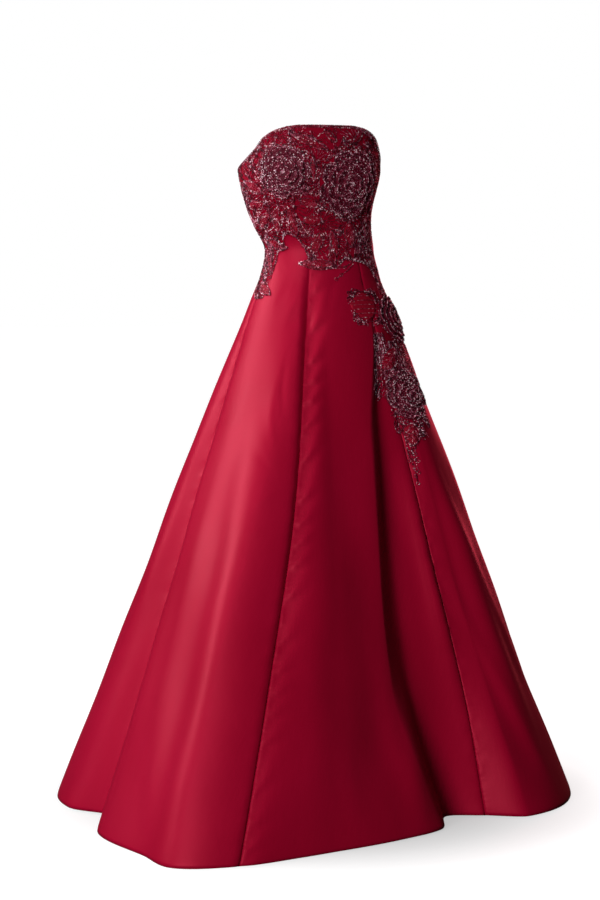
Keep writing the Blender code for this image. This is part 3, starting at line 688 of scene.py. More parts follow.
class BeadTray:
    # gathers beads by kind, then places them on the cloth and joins them into one mesh
    def __init__(self, seed):
        self.chance = np.random.default_rng(seed)
        self.lots = {kind: [] for kind in beadShapes}

    def vary(self, count, by):
        return by * self.chance.standard_normal(count)

    def spread(self, count, tone, by):
        return np.clip(tone + self.vary(count, by), 0.02, 1.0)

    def sew(self, kind, centre, x, y, headingX, headingY, lift, tone, size=1.0):
        # x and y run across and up from a centre, given as angle and height
        columns = np.broadcast_arrays(*centre, x, y, headingX, headingY, lift, tone, size)
        self.lots[kind].append(np.column_stack(columns))

    def join(self, name):
        points, faces, tones = [], [], []
        for kind, lot in self.lots.items():
            if not lot:
                continue
            angle, height, x, y, headingX, headingY, lift, tone, size = np.concatenate(lot).T
            point, across, up, out = appliedPoint(angle, height, x, y, lift)
            # the tone drifts in clusters a few beads wide
            first, second = (point @ clusterLook["waves"]).T
            drift = np.sin(first + 1.7 * np.sin(0.61 * second)) * np.sin(second + 1.3 * np.sin(0.73 * first))
            tone = np.clip(tone + clusterLook["shift"] + clusterLook["depth"] * drift, 0.0, 1.0)
            along = unit(across * headingX[:, None] + up * headingY[:, None])
            corners, polygons = beadCopies(kind, point, along, out, size)
            faces.append(polygons + sum(len(part) for part in points))
            points.append(corners)
            tones.append(np.repeat(tone, len(templates[kind][0])))
        piece = newFacets(name, np.concatenate(points), np.concatenate(faces), beadGlass, "beading")
        tone = piece.data.attributes.new("tone", "FLOAT", "POINT")
        tone.data.foreach_set("value", np.concatenate(tones))


def smoothPath(points, spacing):
    # a rounded line through a few (across, up) points, cut into equal steps
    points = np.array(points, float)
    ends = np.vstack([2 * points[0] - points[1], points, 2 * points[-1] - points[-2]])
    s = np.linspace(0, 1, 16, endpoint=False)[:, None]
    curve = [0.5 * (2 * b + (c - a) * s + (2 * a - 5 * b + 4 * c - d) * s ** 2
                    + (3 * b - a - 3 * c + d) * s ** 3)
             for a, b, c, d in zip(ends, ends[1:], ends[2:], ends[3:])]
    curve = np.vstack(curve + [points[-1:]])
    run = lengths(curve)
    count = max(2, int(round(run[-1] / spacing)))
    marks = (np.arange(count) + 0.5) * run[-1] / count
    return np.column_stack([np.interp(marks, run, curve[:, 0]), np.interp(marks, run, curve[:, 1])])


def sewRow(tray, centre, points, kind, spacing, lift, tone, spread, drop, size):
    # a row of beads along a line given in metres across and up from a centre
    path = smoothPath(points, spacing)
    keep = tray.chance.random(len(path)) >= drop
    if keep.any():
        x, y = path[keep].T
        along = np.gradient(path, axis=0)[keep].T
        tones = tray.spread(len(x), tone, spread)
        tray.sew(kind, centre, x, y, *along, lift, tones, size * (1 + tray.vary(len(x), 0.10)))


# ---- roses

# reach of each whorl, then heights of the petals, and the beads' rows; arcs are small scallops in the rows
roseLook = {
    "whorls": [0.0, 0.28, 0.52, 0.77, 1.0], "edge": 0.0026, "dome": 0.0090, "lip": 0.0026, "hollow": 0.0010,
    "notch": 0.17, "twist": 26, "swirl": 0.0018, "spokes": 144, "cloth": 0.0006, "blank": 2.25,
    "steps": [0.05, 0.25, 0.45, 0.65, 0.82, 0.94, 1.0], "foot": [(1.012, 0.0016), (1.004, 0.0004)],
    "rowPitch": 0.0029, "arc": 0.0115, "arcDepth": 0.0016, "paintedGlints": 0.08, "toneSpread": 0.27,
    "beadLift": 0.0008, "beadSize": 1.15, "eye": 0.05,
    # pitch, share left out, tone, and how far the scallops light the row
    "rim": (0.0025, 0.03, 0.68, 0.0), "field": (0.0027, 0.22, 0.44, 0.14),
}
# angle, height, radius, petals of the outer whorl, turn
roses = {
    "bust_rose_right": (-36, 0.166, 0.054, 7, 10), "bust_rose_left": (20, 0.143, 0.073, 8, 35),
    "hip_rose_upper": (57, -0.152, 0.053, 7, 0), "hip_rose_lower": (42, -0.314, 0.057, 7, 25),
}


spokes = 2 * pi * np.arange(roseLook["spokes"] + 1) / roseLook["spokes"]


def petalTurn(rose, whorl, theta):
    # a full turn for each petal of the whorl; an inner whorl has a petal fewer than the next
    return (rose[3] + whorl - 4) * (theta - radians(rose[4] + roseLook["twist"] * (whorl - 1)))


def whorlEdge(rose, whorl, theta):
    # how far a whorl's petals reach, notched between two petals; whorl 0 is the eye
    wave = np.abs(np.cos(petalTurn(rose, whorl, theta) / 2))
    return roseLook["whorls"][whorl] * (1 - roseLook["notch"] * (1 - wave) ** 2)


def petalReach(rose, whorl, share, theta):
    inner = whorlEdge(rose, whorl - 1, theta)
    return inner + (whorlEdge(rose, whorl, theta) - inner) * share


def petalLift(rose, whorl, share, theta):
    # a petal cups up to its rim, and lies over the next petal round on one side
    base = roseLook["edge"] + (roseLook["dome"] - roseLook["edge"]) * (1 - roseLook["whorls"][whorl] ** 2)
    phase = (petalTurn(rose, whorl, theta) / (2 * pi) + 0.5) % 1.0
    overlap = roseLook["swirl"] * phase * np.clip((1 - phase) / 0.12, 0, 1)
    hollow = roseLook["hollow"] * np.sin(pi * share) * (1 if whorl > 1 else 0.3)
    return base + roseLook["lip"] * share ** 2 - hollow + overlap * share


def makeRoseCloth(name, rose):
    angle, height, radius = rose[:3]
    rings = [(0.0, roseLook["dome"] - 0.001)]
    for whorl in range(1, 5):
        for share in roseLook["steps"]:
            rings.append((petalReach(rose, whorl, share, spokes), petalLift(rose, whorl, share, spokes)))
    rings += [(rings[-1][0] * wider, lift) for wider, lift in roseLook["foot"]]
    reach, lift = (np.array([spokes * 0 + ring[k] for ring in rings]) for k in (0, 1))
    x, y = radius * reach * np.sin(spokes), radius * reach * np.cos(spokes)
    point = appliedPoint(angle, height, x, y, lift)[0]
    piece = newSheet("petals_" + name, name, point, {}, clothPoint(angle, height)[3], [petalNetAndShade],
                     roseLook["cloth"], closed=True)


def sewRose(name, rose):
    angle, height, radius = rose[:3]
    tray = BeadTray(int(100 * radius * 1000) + rose[4])
    for whorl in range(1, 5):
        depth = radius * (roseLook["whorls"][whorl] - roseLook["whorls"][whorl - 1])
        rows = max(2, int(round(depth / roseLook["rowPitch"])))
        for k in range(rows + 1):
            share = (k + 0.35) / (rows + 0.35)
            rim = k >= rows - 1
            pitch, drop, tone, lit = roseLook["rim" if rim else "field"]
            run = lengths(radius * petalReach(rose, whorl, share, spokes)[:, None] * heading(spokes))
            count = max(3, int(run[-1] / pitch))
            around = np.interp((np.arange(count) + tray.chance.random()) / count * run[-1], run, spokes)
            shares = np.full(count, share)
            if not rim:
                shares = np.clip(shares + tray.vary(count, 0.10), 0.03, 0.97)
            keep = tray.chance.random(count) > drop
            around, shares = around[keep], shares[keep]
            reach = petalReach(rose, whorl, shares, around)
            arcs = max(5, round(2 * pi * radius * float(reach.mean()) / roseLook["arc"]))
            scallop = np.abs(np.sin(arcs * around / 2 + 1.57 * k)) - 0.75
            reach = radius * np.maximum(reach + scallop * roseLook["arcDepth"] / radius, 0.01)
            tones = tray.spread(len(around), tone, roseLook["toneSpread"]) + lit * scallop
            # one bead in so many is painted nearly white as a painted glint
            paintedGlints = tray.chance.random(len(around)) < roseLook["paintedGlints"]
            tones = np.clip(np.where(paintedGlints, 1.0, tones), 0.02, 1.0)
            tray.sew("seed", (angle, height), reach * np.sin(around), reach * np.cos(around), np.cos(around),
                     -np.sin(around), petalLift(rose, whorl, shares, around) + roseLook["beadLift"], tones,
                     roseLook["beadSize"] + tray.vary(len(around), 0.16))
    up, across = roseLook["eye"] * radius * heading(2 * pi * np.arange(8) / 8).T
    tray.sew("crystal", (angle, height), across, up, 1.0, 0.0, roseLook["dome"], 0.9, 0.9)
    tray.join("beads_" + name)


for name, rose in roses.items():
    makeRoseCloth(name, rose)
    sewRose(name, rose)
print("roses made")


# ---- leaves

leafLook = {"edge": 0.0013, "rib": 0.0014, "tipLift": 0.0004, "veins": 0.0085, "taper": 0.85,
            "bluntness": 0.8, "cloth": 0.0006, "columns": 13, "rows": 27, "streakPitch": 0.0050,
            "openLow": 0.0010, "openHigh": 0.0012, "rungLeaf": "leaf_hip_broad"}
# angle and height of the base and of the tip, and width
leaves = {
    "leaf_neckline_long": (0, 0.213, -30, 0.247, 0.018), "leaf_neckline_centre": (7, 0.229, -3, 0.256, 0.014),
    "leaf_neckline_left": (22, 0.228, 33, 0.254, 0.014),
    "leaf_between_roses": (-12, 0.145, -13, 0.198, 0.013), "leaf_ribs_right": (-8, 0.094, -25, 0.108, 0.02),
    "leaf_ribs_front": (-6, 0.066, -25, 0.06, 0.024), "leaf_underarm_upper": (-60, 0.122, -82, 0.148, 0.022),
    "leaf_underarm_lower": (-60, 0.099, -90, 0.094, 0.021), "leaf_ribs_side": (-56, 0.08, -80, 0.046, 0.022),
    "leaf_ribs_middle": (-46, 0.093, -55, 0.034, 0.022), "leaf_ribs_inner": (-35, 0.093, -33, 0.03, 0.021),
    "leaf_waist_side": (-77, 0.024, -55, 0, 0.018), "leaf_waist_strip": (-88, 0.004, -70, -0.052, 0.013),
    "leaf_hip_right": (-86, -0.072, -62, -0.098, 0.022),
    "leaf_waist_centre": (-10, 0.038, -24, -0.012, 0.022),
    "leaf_waist_oval": (-1, -0.034, -37, -0.029, 0.023), "leaf_waist_front": (2, 0.044, 2, -0.017, 0.018),
    "leaf_under_rose": (24, 0.062, 20, 0.004, 0.034), "leaf_waist_left": (46, 0.052, 55, -0.082, 0.024),
    "leaf_hip_broad": (35, -0.121, 9, -0.121, 0.066), "leaf_hip_long": (43, -0.214, 27, -0.262, 0.036),
    "leaf_hip_tail": (39, -0.374, 36, -0.425, 0.04),
}
# leaves that are only sewn, with no netting of their own
openLeaves = [
    (-12, 0.122, -27, 0.134, 0.018), (-16, 0.046, -30, 0.028, 0.018), (34, 0.04, 40, -0.014, 0.018),
    (56, 0.06, 64, -0.006, 0.022), (60, 0.1, 78, 0.062, 0.024), (66, 0.03, 74, -0.05, 0.02),
    (-80, 0.02, -72, -0.026, 0.014), (-84, -0.04, -76, -0.08, 0.014), (-64, 0.008, -50, 0.004, 0.012),
    (48, -0.226, 34, -0.292, 0.03), (60, -0.214, 52, -0.268, 0.026), (70, -0.208, 66, -0.262, 0.026),
    (30, -0.214, 22, -0.25, 0.022), (56, -0.092, 60, -0.112, 0.02), (66, -0.104, 78, -0.126, 0.026),
    (33, -0.362, 31, -0.396, 0.022), (44, -0.368, 43, -0.402, 0.024), (50, -0.362, 52, -0.388, 0.02),
]


def leafHalf(width, share):
    return width / 2 * np.sin(pi * np.clip(share, 0.0, 1.0) ** leafLook["taper"]) ** leafLook["bluntness"]


def metresFrom(centre, spot):
    return np.array([(spot[0] - centre[0]) * norm(slopesAt(*centre)[0]), spot[1] - centre[1]])


def leafFrame(leaf):
    # centre, the way from base to tip, the direction across it, and width
    baseAngle, baseHeight, tipAngle, tipHeight, width = leaf
    centre = ((baseAngle + tipAngle) / 2, (baseHeight + tipHeight) / 2)
    run = 2 * metresFrom(centre, (tipAngle, tipHeight))
    return centre, run, np.array([run[1], -run[0]]) / norm(run), width


def sewLeaf(tray, leaf, low, high):
    # an outline, a rib, and streaks that run from the rib out to the edge
    centre, run, side, width = leafFrame(leaf)
    long = norm(run)
    pairs = max(3, int(long / leafLook["streakPitch"]))
    for edge in (-side, side):
        rim = [run * (s - 0.5) + edge * leafHalf(width, s) for s in np.linspace(0.0, 1.0, 12)]
        sewRow(tray, centre, rim, "seed", 0.0025, low, 0.52, 0.32, 0.05, 1.2)
        for k in range(pairs):
            s = (k + 0.3 * tray.chance.random()) / pairs
            reach = leafHalf(width, min(s + 0.10, 0.98)) * (0.80 + 0.14 * tray.chance.random())
            streak = [run * (s - 0.5) + edge * 0.0016,
                      run * (min(s + 0.10 + 0.3 * width / long, 1.0) - 0.5) + edge * reach]
            sewRow(tray, centre, streak, "bugle", 0.0056, (low + high) / 2, 0.42, 0.24, 0.10, 0.95)
    sewRow(tray, centre, [run * -0.48, run * 0.48], "seed", 0.0029, high, 0.55, 0.24, 0.06, 1.0)


def makeLeaf(name, leaf):
    centre, run, side, width = leafFrame(leaf)
    long = float(norm(run))
    across = np.linspace(-1.0, 1.0, leafLook["columns"])
    share = np.linspace(0.015, 0.985, leafLook["rows"])[:, None]
    x, y = run[:, None, None] * (share - 0.5) + side[:, None, None] * leafHalf(width, share) * across
    vein = np.abs(np.sin((share * long / leafLook["veins"] - np.abs(across) * 0.9) * pi))
    rise = leafLook["edge"] + leafLook["rib"] * (1 - np.abs(across) ** 1.3) * (0.75 + 0.25 * vein)
    rise[:, [0, -1]] = rise[[0, -1]] = leafLook["tipLift"]
    point = appliedPoint(*centre, x, y, rise)[0]
    piece = newSheet("net_" + name, name, point, {}, clothPoint(*centre)[3], [leafNet],
                     leafLook["cloth"])


leafTray = BeadTray(41)
for name, leaf in leaves.items():
    makeLeaf(name, leaf)
    if name != leafLook["rungLeaf"]:
        sewLeaf(leafTray, leaf, leafLook["edge"] + 0.0006, leafLook["edge"] + leafLook["rib"])
leafTray.join("beads_leaves")
openTray = BeadTray(59)
for leaf in openLeaves:
    sewLeaf(openTray, leaf, leafLook["openLow"], leafLook["openHigh"])
openTray.join("beads_open_leaves")
print("leaves made")


# ---- streaks that fill the bodice and the hip between the flowers

streakLook = {
    "girth": 0.145, "hipGirth": 0.21, "ring": 0.0056, "raySplit": 0.0088, "first": 0.0070, "rings": 15,
    "lift": 0.0009, "topGap": 0.007, "bugleShare": 0.55, "tripleStep": 0.0023, "rays": 256,
    "rayTones": [0.10, 0.34, 0.62, 0.86], "rayShares": [0.26, 0.30, 0.26, 0.18], "rayGaps": 0.16,
    "hipTones": [0.10, 0.30, 0.55, 0.80], "hipPitch": 0.0064, "knot": 0.0026,
}
# the streaks fan out from these places: angle and height
fanRoots = np.array([
    (-36, 0.166), (20, 0.143), (-9, 0.19), (-14, 0.225), (5, 0.212), (24, 0.232), (40, 0.212), (-8, 0.14),
    (-9, 0.1), (-6, 0.062), (-2, 0.018), (-18, 0.01), (-30, 0.094), (-46, 0.096), (-58, 0.122),
    (-57, 0.088), (-72, 0.04), (-80, 0.098), (22, 0.05), (38, 0.04), (48, 0.01), (58, 0.12), (54, 0.075),
    (66, 0.16), (74, 0.05), (88, 0.11), (-80, -0.01), (-78, -0.06), (-82, -0.1), (52, -0.04), (-96, 0.112),
    (-66, 0.172), (-52, 0.214), (-24, 0.244), (-84, 0.146), (44, 0.242), (-62, 0.205), (-43, 0.238),
    (-73, 0.15), (-64, 0.238),
])
# and hang down the hip: angle and height of the root, spread in degrees, reach, lines
hipStreaks = [(30, -0.178, 14, 0.14, 20), (42, -0.196, 18, 0.13, 24), (56, -0.208, 18, 0.10, 22),
              (70, -0.206, 14, 0.08, 16)]


def flatPlace(angle, height):
    # a place on the bodice rolled flat
    return np.stack([np.radians(angle) * streakLook["girth"], height], axis=-1)


def streakAllowed(angle, height):
    # inside the beaded part of the bodice, and not under a rose or a leaf
    keep = (height > lowestBead(angle)) & (height < topEdge(angle) - streakLook["topGap"])
    keep &= np.abs(angle) < beadedTurn
    place = flatPlace(angle, height)
    for rose in roses.values():
        keep &= norm(place - flatPlace(*rose[:2]), axis=-1) > 0.92 * rose[2]
    for leaf in leaves.values():
        centre, run, side, width = leafFrame(leaf)
        share = (place - flatPlace(*centre)) @ run / run.dot(run) + 0.5
        aside = np.abs((place - flatPlace(*centre)) @ side)
        keep &= (share < 0) | (share > 1) | (aside > leafHalf(width, share) + 0.0008)
    return keep


def sewStreaks(tray, angle, height, turn, tone):
    # each streak is one bugle, or three seeds in a row; turn is its heading from across to up
    bugle = tray.chance.random(len(angle)) < streakLook["bugleShare"]
    tones = tray.spread(len(angle), tone, 0.16)
    for kind, picked, steps in (("bugle", bugle, (0,)), ("seed", ~bugle, (-1, 0, 1))):
        x, y = heading(turn[picked]).T
        for step in steps:
            aside = step * streakLook["tripleStep"]
            tray.sew(kind, (angle[picked], height[picked]), aside * x, aside * y, x, y, streakLook["lift"],
                     tones[picked], 1.0 + tray.vary(len(x), 0.10))


def sewFans(tray):
    spots, turns, owners, shades = [], [], [], []
    roots = flatPlace(*fanRoots.T)
    for index, root in enumerate(roots):
        lean = tray.chance.random() * 2 * pi
        # every ray keeps to its own tone, and now and then one is missing
        rays = tray.chance.choice(streakLook["rayTones"], streakLook["rays"], p=streakLook["rayShares"])
        rays = np.clip(rays + tray.vary(len(rays), 0.06), 0.0, 1.0)
        rays[tray.chance.random(len(rays)) < streakLook["rayGaps"]] = -1.0
        for reach in streakLook["first"] + streakLook["ring"] * np.arange(streakLook["rings"]):
            # the rays double in number as they spread
            count = 16 * 2 ** max(0, int(np.log2(reach / streakLook["raySplit"])))
            turn = lean + (np.arange(count) + tray.vary(count, 0.10)) / count * 2 * pi
            far = reach + tray.vary(count, 0.0012)
            bend = 0.35 * np.sin(1.7 * index) * reach / 0.04
            spots.append(root + far[:, None] * heading(turn + bend))
            turns.append(turn + 2 * bend)
            owners.append(np.full(count, index))
            shades.append(rays[::len(rays) // count] * min(1.0, 0.3 + reach / 0.030))
    spots, turns, owners, shades = (np.concatenate(part) for part in (spots, turns, owners, shades))
    nearest = np.argmin(norm(spots[:, None] - roots, axis=2), axis=1)
    angle, height = np.degrees(spots[:, 0] / streakLook["girth"]), spots[:, 1]
    keep = (nearest == owners) & (shades >= 0) & (tray.chance.random(len(angle)) > 0.05)
    keep &= streakAllowed(angle, height)
    sewStreaks(tray, angle[keep], height[keep], turns[keep], shades[keep])


def sewHipStreaks(tray):
    # long lines that fan down the hip
    for rootAngle, rootHeight, spread, reach, lines in hipStreaks:
        for t in np.arange(lines) / (lines - 1) - 0.5:
            marks = np.arange(0.004, reach * (0.75 + 0.25 * tray.chance.random()), streakLook["hipPitch"])
            height = rootHeight - marks
            angle = rootAngle + spread * t * (0.55 + 0.9 * marks / reach)
            keep = tray.chance.random(len(marks)) > 0.08
            for rose in (roses["hip_rose_upper"], roses["hip_rose_lower"]):
                x = np.radians(angle - rose[0]) * streakLook["hipGirth"]
                keep &= np.hypot(x, height - rose[1]) > 0.9 * rose[2]
            tone = tray.chance.choice(streakLook["hipTones"])
            sewStreaks(tray, angle[keep], height[keep], np.full(keep.sum(), t / 2 - pi / 2), tone)


def sewKnots(tray):
    # a knot of beads at the root of each fan, and the bound top edge
    lift = streakLook["lift"]
    rooted = fanRoots[streakAllowed(*fanRoots.T)].T
    for x, y in streakLook["knot"] * heading(2 * pi * np.arange(6) / 6):
        tones = tray.spread(rooted.shape[1], 0.66, 0.2)
        tray.sew("seed", rooted, x, y, 1.0, 0.0, lift + 0.0003, tones, 1.15)
    tray.sew("crystal", rooted, 0.0, 0.0, 1.0, 0.0, lift + 0.0004, 0.95, 0.8)
    level = np.arange(-beadedTurn, beadedTurn, 1.05)
    for drop in (0.0008, 0.0032, 0.0056):
        angle = level + 0.4 * tray.chance.random(len(level))
        tones = tray.spread(len(level), 0.48, 0.30)
        tray.sew("seed", (angle, topEdge(angle) - drop), 0.0, 0.0, 1.0, 0.0, lift + 0.0002, tones, 1.15)


streakTray = BeadTray(23)
for sewPart in (sewFans, sewHipStreaks, sewKnots):
    sewPart(streakTray)
streakTray.join("beads_streaks")

looseLook = {"tones": [0.04, 0.30, 0.62, 0.96], "shares": [0.34, 0.26, 0.20, 0.20], "edgeCopies": 6,
             "edgeReach": 0.0042, "roseBeads": 900, "roseReach": 0.015, "patchBeads": 85}
# loose beads in patches: angle, height, reach
loosePatches = [
    (-58, 0.1, 0.016), (-66, 0.06, 0.017), (-50, 0.056, 0.015), (-40, 0.075, 0.014), (-74, 0.018, 0.016),
    (-61, 0.022, 0.014), (-48, 0.024, 0.009), (-80, 0.062, 0.017), (-71, 0.186, 0.014),
    (-59, 0.216, 0.012), (-30, 0.052, 0.012), (-84, -0.03, 0.014), (-80, -0.078, 0.014), (-5, 0.09, 0.013),
    (10, 0.04, 0.012), (0, 0.155, 0.012), (46, 0.02, 0.014), (58, -0.03, 0.013), (66, 0.04, 0.014),
    (-22, -0.018, 0.009), (-30, 0.25, 0.008), (-30, 0.232, 0.009), (-31, 0.214, 0.009), (-14, 0.236, 0.01),
    (14, 0.232, 0.011), (38, 0.226, 0.01), (-44, 0.22, 0.011), (-88, 0.12, 0.016),
]
# and on the hip
hipPatches = [
    (26, -0.19, 0.008), (25, -0.215, 0.008), (24, -0.24, 0.008), (22, -0.265, 0.008), (21, -0.29, 0.01),
    (22, -0.31, 0.011), (29, -0.312, 0.01), (36, -0.372, 0.017), (43, -0.374, 0.017), (32, -0.352, 0.011),
    (37, -0.4, 0.014), (44, -0.398, 0.012), (50, -0.368, 0.013), (60, -0.196, 0.014), (67, -0.19, 0.014),
    (53, -0.198, 0.011), (46, -0.146, 0.012), (44, -0.118, 0.01), (48, -0.186, 0.01), (62, -0.1, 0.013),
    (72, -0.118, 0.014), (40, -0.168, 0.01),
]


def looseTones(tray, count):
    return tray.chance.choice(looseLook["tones"], count, p=looseLook["shares"])


def makeLoose():
    # along the lowest edge, around the roses and in patches
    tray = BeadTray(31)
    border = smoothPath(flatPlace(*beadedFloor.T), 0.0024)
    spots = [border + looseLook["edgeReach"] * np.abs(tray.vary(border.shape, 1.0)) * (0.6, 1.0)
             for copy in range(looseLook["edgeCopies"])]
    for name in ("bust_rose_right", "bust_rose_left"):
        angle, height, radius = roses[name][:3]
        turn = tray.chance.random(looseLook["roseBeads"]) * 2 * pi
        reach = radius * 0.95 + looseLook["roseReach"] * tray.chance.random(len(turn)) ** 1.5
        spots.append(flatPlace(angle, height) + reach[:, None] * heading(turn))
    for angle, height, reach in loosePatches:
        spots.append(flatPlace(angle, height) + tray.vary((looseLook["patchBeads"], 2), 0.5 * reach))
    spots = np.concatenate(spots)
    angle, height = np.degrees(spots[:, 0] / streakLook["girth"]), spots[:, 1]
    keep = (height > lowestBead(angle) - 0.001) & (height < topEdge(angle) - 0.003)
    keep &= np.abs(angle) < beadedTurn
    angle, height = angle[keep], height[keep]
    tones = np.clip(looseTones(tray, len(angle)) + tray.vary(len(angle), 0.05), 0.0, 1.0)
    turn = tray.chance.random(len(angle)) * 2 * pi
    lift = streakLook["lift"] + 0.0010 * tray.chance.random(len(angle))
    tray.sew("seed", (angle, height), 0.0, 0.0, *heading(turn).T, lift, tones, 1.1)
    for angle, height, reach in hipPatches:
        x, y = tray.vary((2, looseLook["patchBeads"]), 0.5 * reach)
        tones = looseTones(tray, len(x))
        lift = streakLook["lift"] + 0.0010 * tray.chance.random(len(x))
        tray.sew("seed", (angle, height), x, y, 1.0, 0.0, lift, tones, 1.15)
    tray.join("beads_loose")


makeLoose()
print("streaks made")


# ---- loose sprays and tendrils of beads on the satin

# fans of streaks: angle and height of the root and of the far end, spread at the far end in metres, streaks
sprays = [
    (-9, 0.166, -20, 0.214, 0.03, 7), (-2, 0.024, -3, -0.042, 0.02, 6), (36, 0.036, 26, -0.028, 0.02, 7),
    (47, 0.034, 53, -0.03, 0.018, 6), (44, 0.03, 57, -0.08, 0.016, 6), (40, -0.218, 20, -0.314, 0.04, 8),
]
# tendrils: a line of angle and height pairs
tendrils = [
    [(4, -0.037), (10, -0.037), (18, -0.028), (25, -0.02)],
    [(0, -0.063), (5, -0.054), (12, -0.045), (20, -0.03)],
    [(34, -0.405), (34, -0.432), (34, -0.452)], [(36, -0.402), (35.5, -0.44), (35, -0.466)],
    [(38, -0.405), (37, -0.432), (37, -0.45)], [(35.5, -0.462), (35.5, -0.5)],
    [(38, -0.372), (37, -0.411)], [(40, -0.378), (40, -0.41)],
    [(35, -0.41), (36, -0.44), (36.5, -0.474)], [(37, -0.41), (36, -0.436), (34.2, -0.446)],
    [(33, -0.426), (35, -0.434), (37.8, -0.428)], [(33.6, -0.446), (35.6, -0.454), (37.6, -0.448)],
    [(34.8, -0.47), (35.6, -0.478), (36.8, -0.474)], [(52, -0.028), (56, -0.056), (57, -0.09)],
    [(49, -0.026), (53, -0.056), (53, -0.094)], [(45, -0.03), (50, -0.06), (49, -0.1)],
]
# small rings at the tips of the tendrils
tendrilRings = [(4, -0.037), (10, -0.038), (0, -0.063), (5, -0.054), (33.6, -0.456), (37.2, -0.456),
                (34.4, -0.438), (36.8, -0.44), (36.6, -0.48), (35.2, -0.488), (35.5, -0.504)]
# the broad leaf of the hip: rows of bugles across, inside a rounded box of mixed beads
boxLook = {"centre": (24.5, -0.124), "wide": 0.043, "high": 0.041, "rungs": 8, "rows": 4, "lift": 0.0022,
           "rowBeads": 110, "rowStep": 0.085, "round": 0.45}


def sewSpray(tray, fan, number):
    centre, run, side, spread = leafFrame(fan)
    for t in np.arange(number) / (number - 1) - 0.5:
        start = side * t * spread * 0.25 + run * (0.10 * tray.chance.random() - 0.5)
        finish = run * (0.34 + 0.2 * tray.chance.random()) + side * t * spread
        middle = (start + finish) / 2 + side * t * spread * 0.14
        sewRow(tray, centre, [start, middle, finish], "bugle", 0.0056, 0.0010, 0.46, 0.26, 0.14, 0.95)


def sewBox(tray):
    centre, lift = boxLook["centre"], boxLook["lift"]
    for height in boxLook["high"] * np.linspace(-0.84, 0.84, boxLook["rungs"]):
        left, right = boxLook["wide"] * (0.80 - 0.12 * tray.chance.random(2))
        rung = [(-left, height), (0.0, height + 0.0012), (right, height)]
        sewRow(tray, centre, rung, "bugle", 0.0056, lift, 0.62, 0.20, 0.12, 1.0)
    turn = np.linspace(0, 2 * pi, boxLook["rowBeads"])
    blunt = np.sign(heading(turn)) * np.abs(heading(turn)) ** boxLook["round"]
    for row in range(boxLook["rows"]):
        reach = (1.0 - boxLook["rowStep"] * row) * (1 + 0.05 * np.sin(11 * turn + row))
        x, y = blunt.T * reach
        tray.sew("seed", centre, boxLook["wide"] * x, boxLook["high"] * y, 1.0, 0.0, lift - 0.0006,
                 tray.spread(len(turn), 0.42, 0.30), 1.15)


sprayTray = BeadTray(77)
for *fan, number in sprays:
    sewSpray(sprayTray, fan, number)
for tendril in tendrils:
    middle = tendril[len(tendril) // 2]
    line = [metresFrom(middle, spot) for spot in tendril]
    sewRow(sprayTray, middle, line, "seed", 0.0026, 0.0011, 0.5, 0.24, 0.04, 1.2)
ring = 0.0036 * heading(2 * pi * np.arange(8) / 8).T
for tip in tendrilRings:
    sprayTray.sew("seed", tip, *ring, 1.0, 0.0, 0.0011, 0.66)
sewBox(sprayTray)
sprayTray.join("beads_sprays")
print("sprays made")


# ---- zip

zipLook = {"pitch": 0.0014, "lean": 0.25, "sink": 0.0010, "coil": (0.10, 0.003, 0.012, 1.0),
           "lacquer": [(0.4, (0.16, 0.004, 0.016)), (0.8, (0.24, 0.02, 0.035))]}


def makeCoil():
    low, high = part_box("back_zip")
    levels = np.arange(low[2] + 0.001, high[2] - 0.001, zipLook["pitch"])
    point, across, up, out = clothPoint(180.0, levels, -zipLook["sink"])
    along = unit(across + up * zipLook["lean"] * (-1.0) ** np.arange(len(levels))[:, None])
    finish = Finish("zipCoil", {"Base Color": zipLook["coil"], "Roughness": 0.35})
    piece = newFacets("zip_coil", *beadCopies("coil", point, along, out), finish.material, "zip_tape")
    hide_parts("back_zip")


def makeLacquer():
    lacquer = Finish("redLacquer", {"Metallic": 0.9, "Coat Weight": 0.6, "Coat Roughness": 0.1})
    wear = lacquer.noise(lacquer.coordinates(), 900.0, 3.0)
    lacquer.ramp(wear, zipLook["lacquer"])
    lacquer.feed("Roughness", 0.2 + wear * 0.2)
    return lacquer.material


makeCoil()
lacquer = makeLacquer()
for node in ("zip_slider", "zip_pull"):
    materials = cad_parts[node].data.materials
    materials.clear()
    materials.append(lacquer)
print("zip made")


# ---- floor, light and camera

# the paper glows white, and is painted darker near the hem as a painted soft shadow where the hem stands
# close over it
stageLook = {
    "floor": -1.21, "floorSize": 60.0, "paper": (0.16, 0.16, 0.16, 1.0), "shade": (0.60, 0.64),
    "shadeFar": 1.25,
    "glowAndPaintedShadow": [(0.25, (0.50,) * 3), (0.48, (0.74,) * 3), (0.72, (0.95,) * 3), (1.0, (1.0,) * 3)],
    "sky": (1.0, 1.0, 1.0, 1.0), "skySeen": 1.0, "skyLight": 0.03,
}
# place, aim, size, watts, spread in degrees, colour
lamps = {
    "key": ((-3.55, 1.05, 1.9), (-0.2, -0.05, 0.32), (2.0, 2.0), 44, 70, (1.0, 1.0, 1.0)),
    "fill": ((-3.45, -3.85, 0.5), (0.0, -0.1, -0.4), (2.0, 2.0), 110, 120, (1.0, 0.94, 0.95)),
    "right": ((3.28, 2.48, 0.5), (0.3, 0.0, -0.6), (1.2, 2.6), 68, 180, (1.0, 0.08, 0.14)),
    "top": ((-0.5, -1.0, 4.0), (0.0, 0.0, -0.6), (3.0, 3.0), 24, 180, (1.0, 0.9, 0.92)),
}


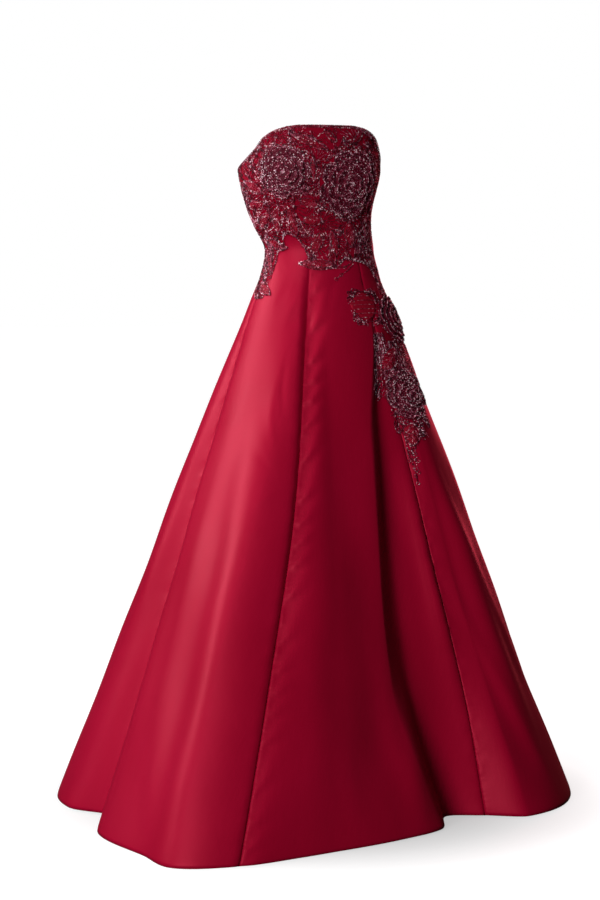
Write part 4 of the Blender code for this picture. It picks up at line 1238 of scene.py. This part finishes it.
def makeFloor():
    bm = bmesh.new()
    bmesh.ops.create_grid(bm, x_segments=2, y_segments=2, size=stageLook["floorSize"] / 2,
                          matrix=Matrix.Translation((0, 0, stageLook["floor"])))
    mesh = bpy.data.meshes.new("studio_floor")
    bm.to_mesh(mesh)
    bm.free()
    paper = Finish("paleFloor", {"Base Color": stageLook["paper"], "Roughness": 0.8,
                                 "Specular IOR Level": 0.1, "Emission Strength": 1.0})
    x, y, z = paper.parts(paper.coordinates())
    halfWide, halfDeep = stageLook["shade"]
    # painted shadow: the glow dims towards the hem
    away = ((x / halfWide) ** 2.0 + (y / halfDeep) ** 2.0) / stageLook["shadeFar"] ** 2
    paper.ramp(away.held(), stageLook["glowAndPaintedShadow"], "Emission Color")
    mesh.materials.append(paper.material)
    floor = placed("studio_floor", mesh)
    floor.visible_diffuse = False
    floor.visible_glossy = False


def makeSky():
    # the backdrop looks white, and lights the gown only softly
    world = bpy.data.worlds.new("studio")
    bpy.context.scene.world = world
    world.use_nodes = True
    sky = world.node_tree.nodes["Background"]
    sky.inputs["Color"].default_value = stageLook["sky"]
    seen = Reading(world.node_tree.nodes.new("ShaderNodeLightPath").outputs["Is Camera Ray"])
    light = stageLook["skyLight"]
    plug(sky.inputs["Strength"], seen * (stageLook["skySeen"] - light) + light)


def makeLamp(name, place, aim, size, watts, spread, colour):
    light = bpy.data.lights.new(name, "AREA")
    light.color = colour
    light.shape = "RECTANGLE"
    light.size, light.size_y = size
    light.energy = watts
    light.spread = radians(spread)
    holder = placed(name, light)
    holder.location = place
    holder.rotation_euler = (Vector(aim) - Vector(place)).to_track_quat("-Z", "Y").to_euler()


cameraLook = {"lens": 85.0, "sensor": 36.0, "turn": -20.0, "away": 4.7, "height": -0.010, "tilt": 5.256,
              "aside": -0.042}


def makeCamera():
    turn, tilt = radians(cameraLook["turn"]), radians(cameraLook["tilt"])
    away = Vector((sin(turn), -cos(turn), 0.0))
    right = Vector((cos(turn), sin(turn), 0.0))
    camera = bpy.data.cameras.new("camera")
    camera.lens = cameraLook["lens"]
    camera.sensor_width = cameraLook["sensor"]
    holder = placed("camera", camera)
    holder.location = away * cameraLook["away"] + right * cameraLook["aside"]
    holder.location.z += cameraLook["height"]
    look = -away * cos(tilt) + Vector((0, 0, -sin(tilt)))
    holder.rotation_euler = look.to_track_quat("-Z", "Y").to_euler()
    bpy.context.scene.camera = holder


makeFloor()
makeSky()
for name, lamp in lamps.items():
    makeLamp(name, *lamp)
makeCamera()
bpy.context.scene.view_settings.view_transform = "Standard"
print("stage made")
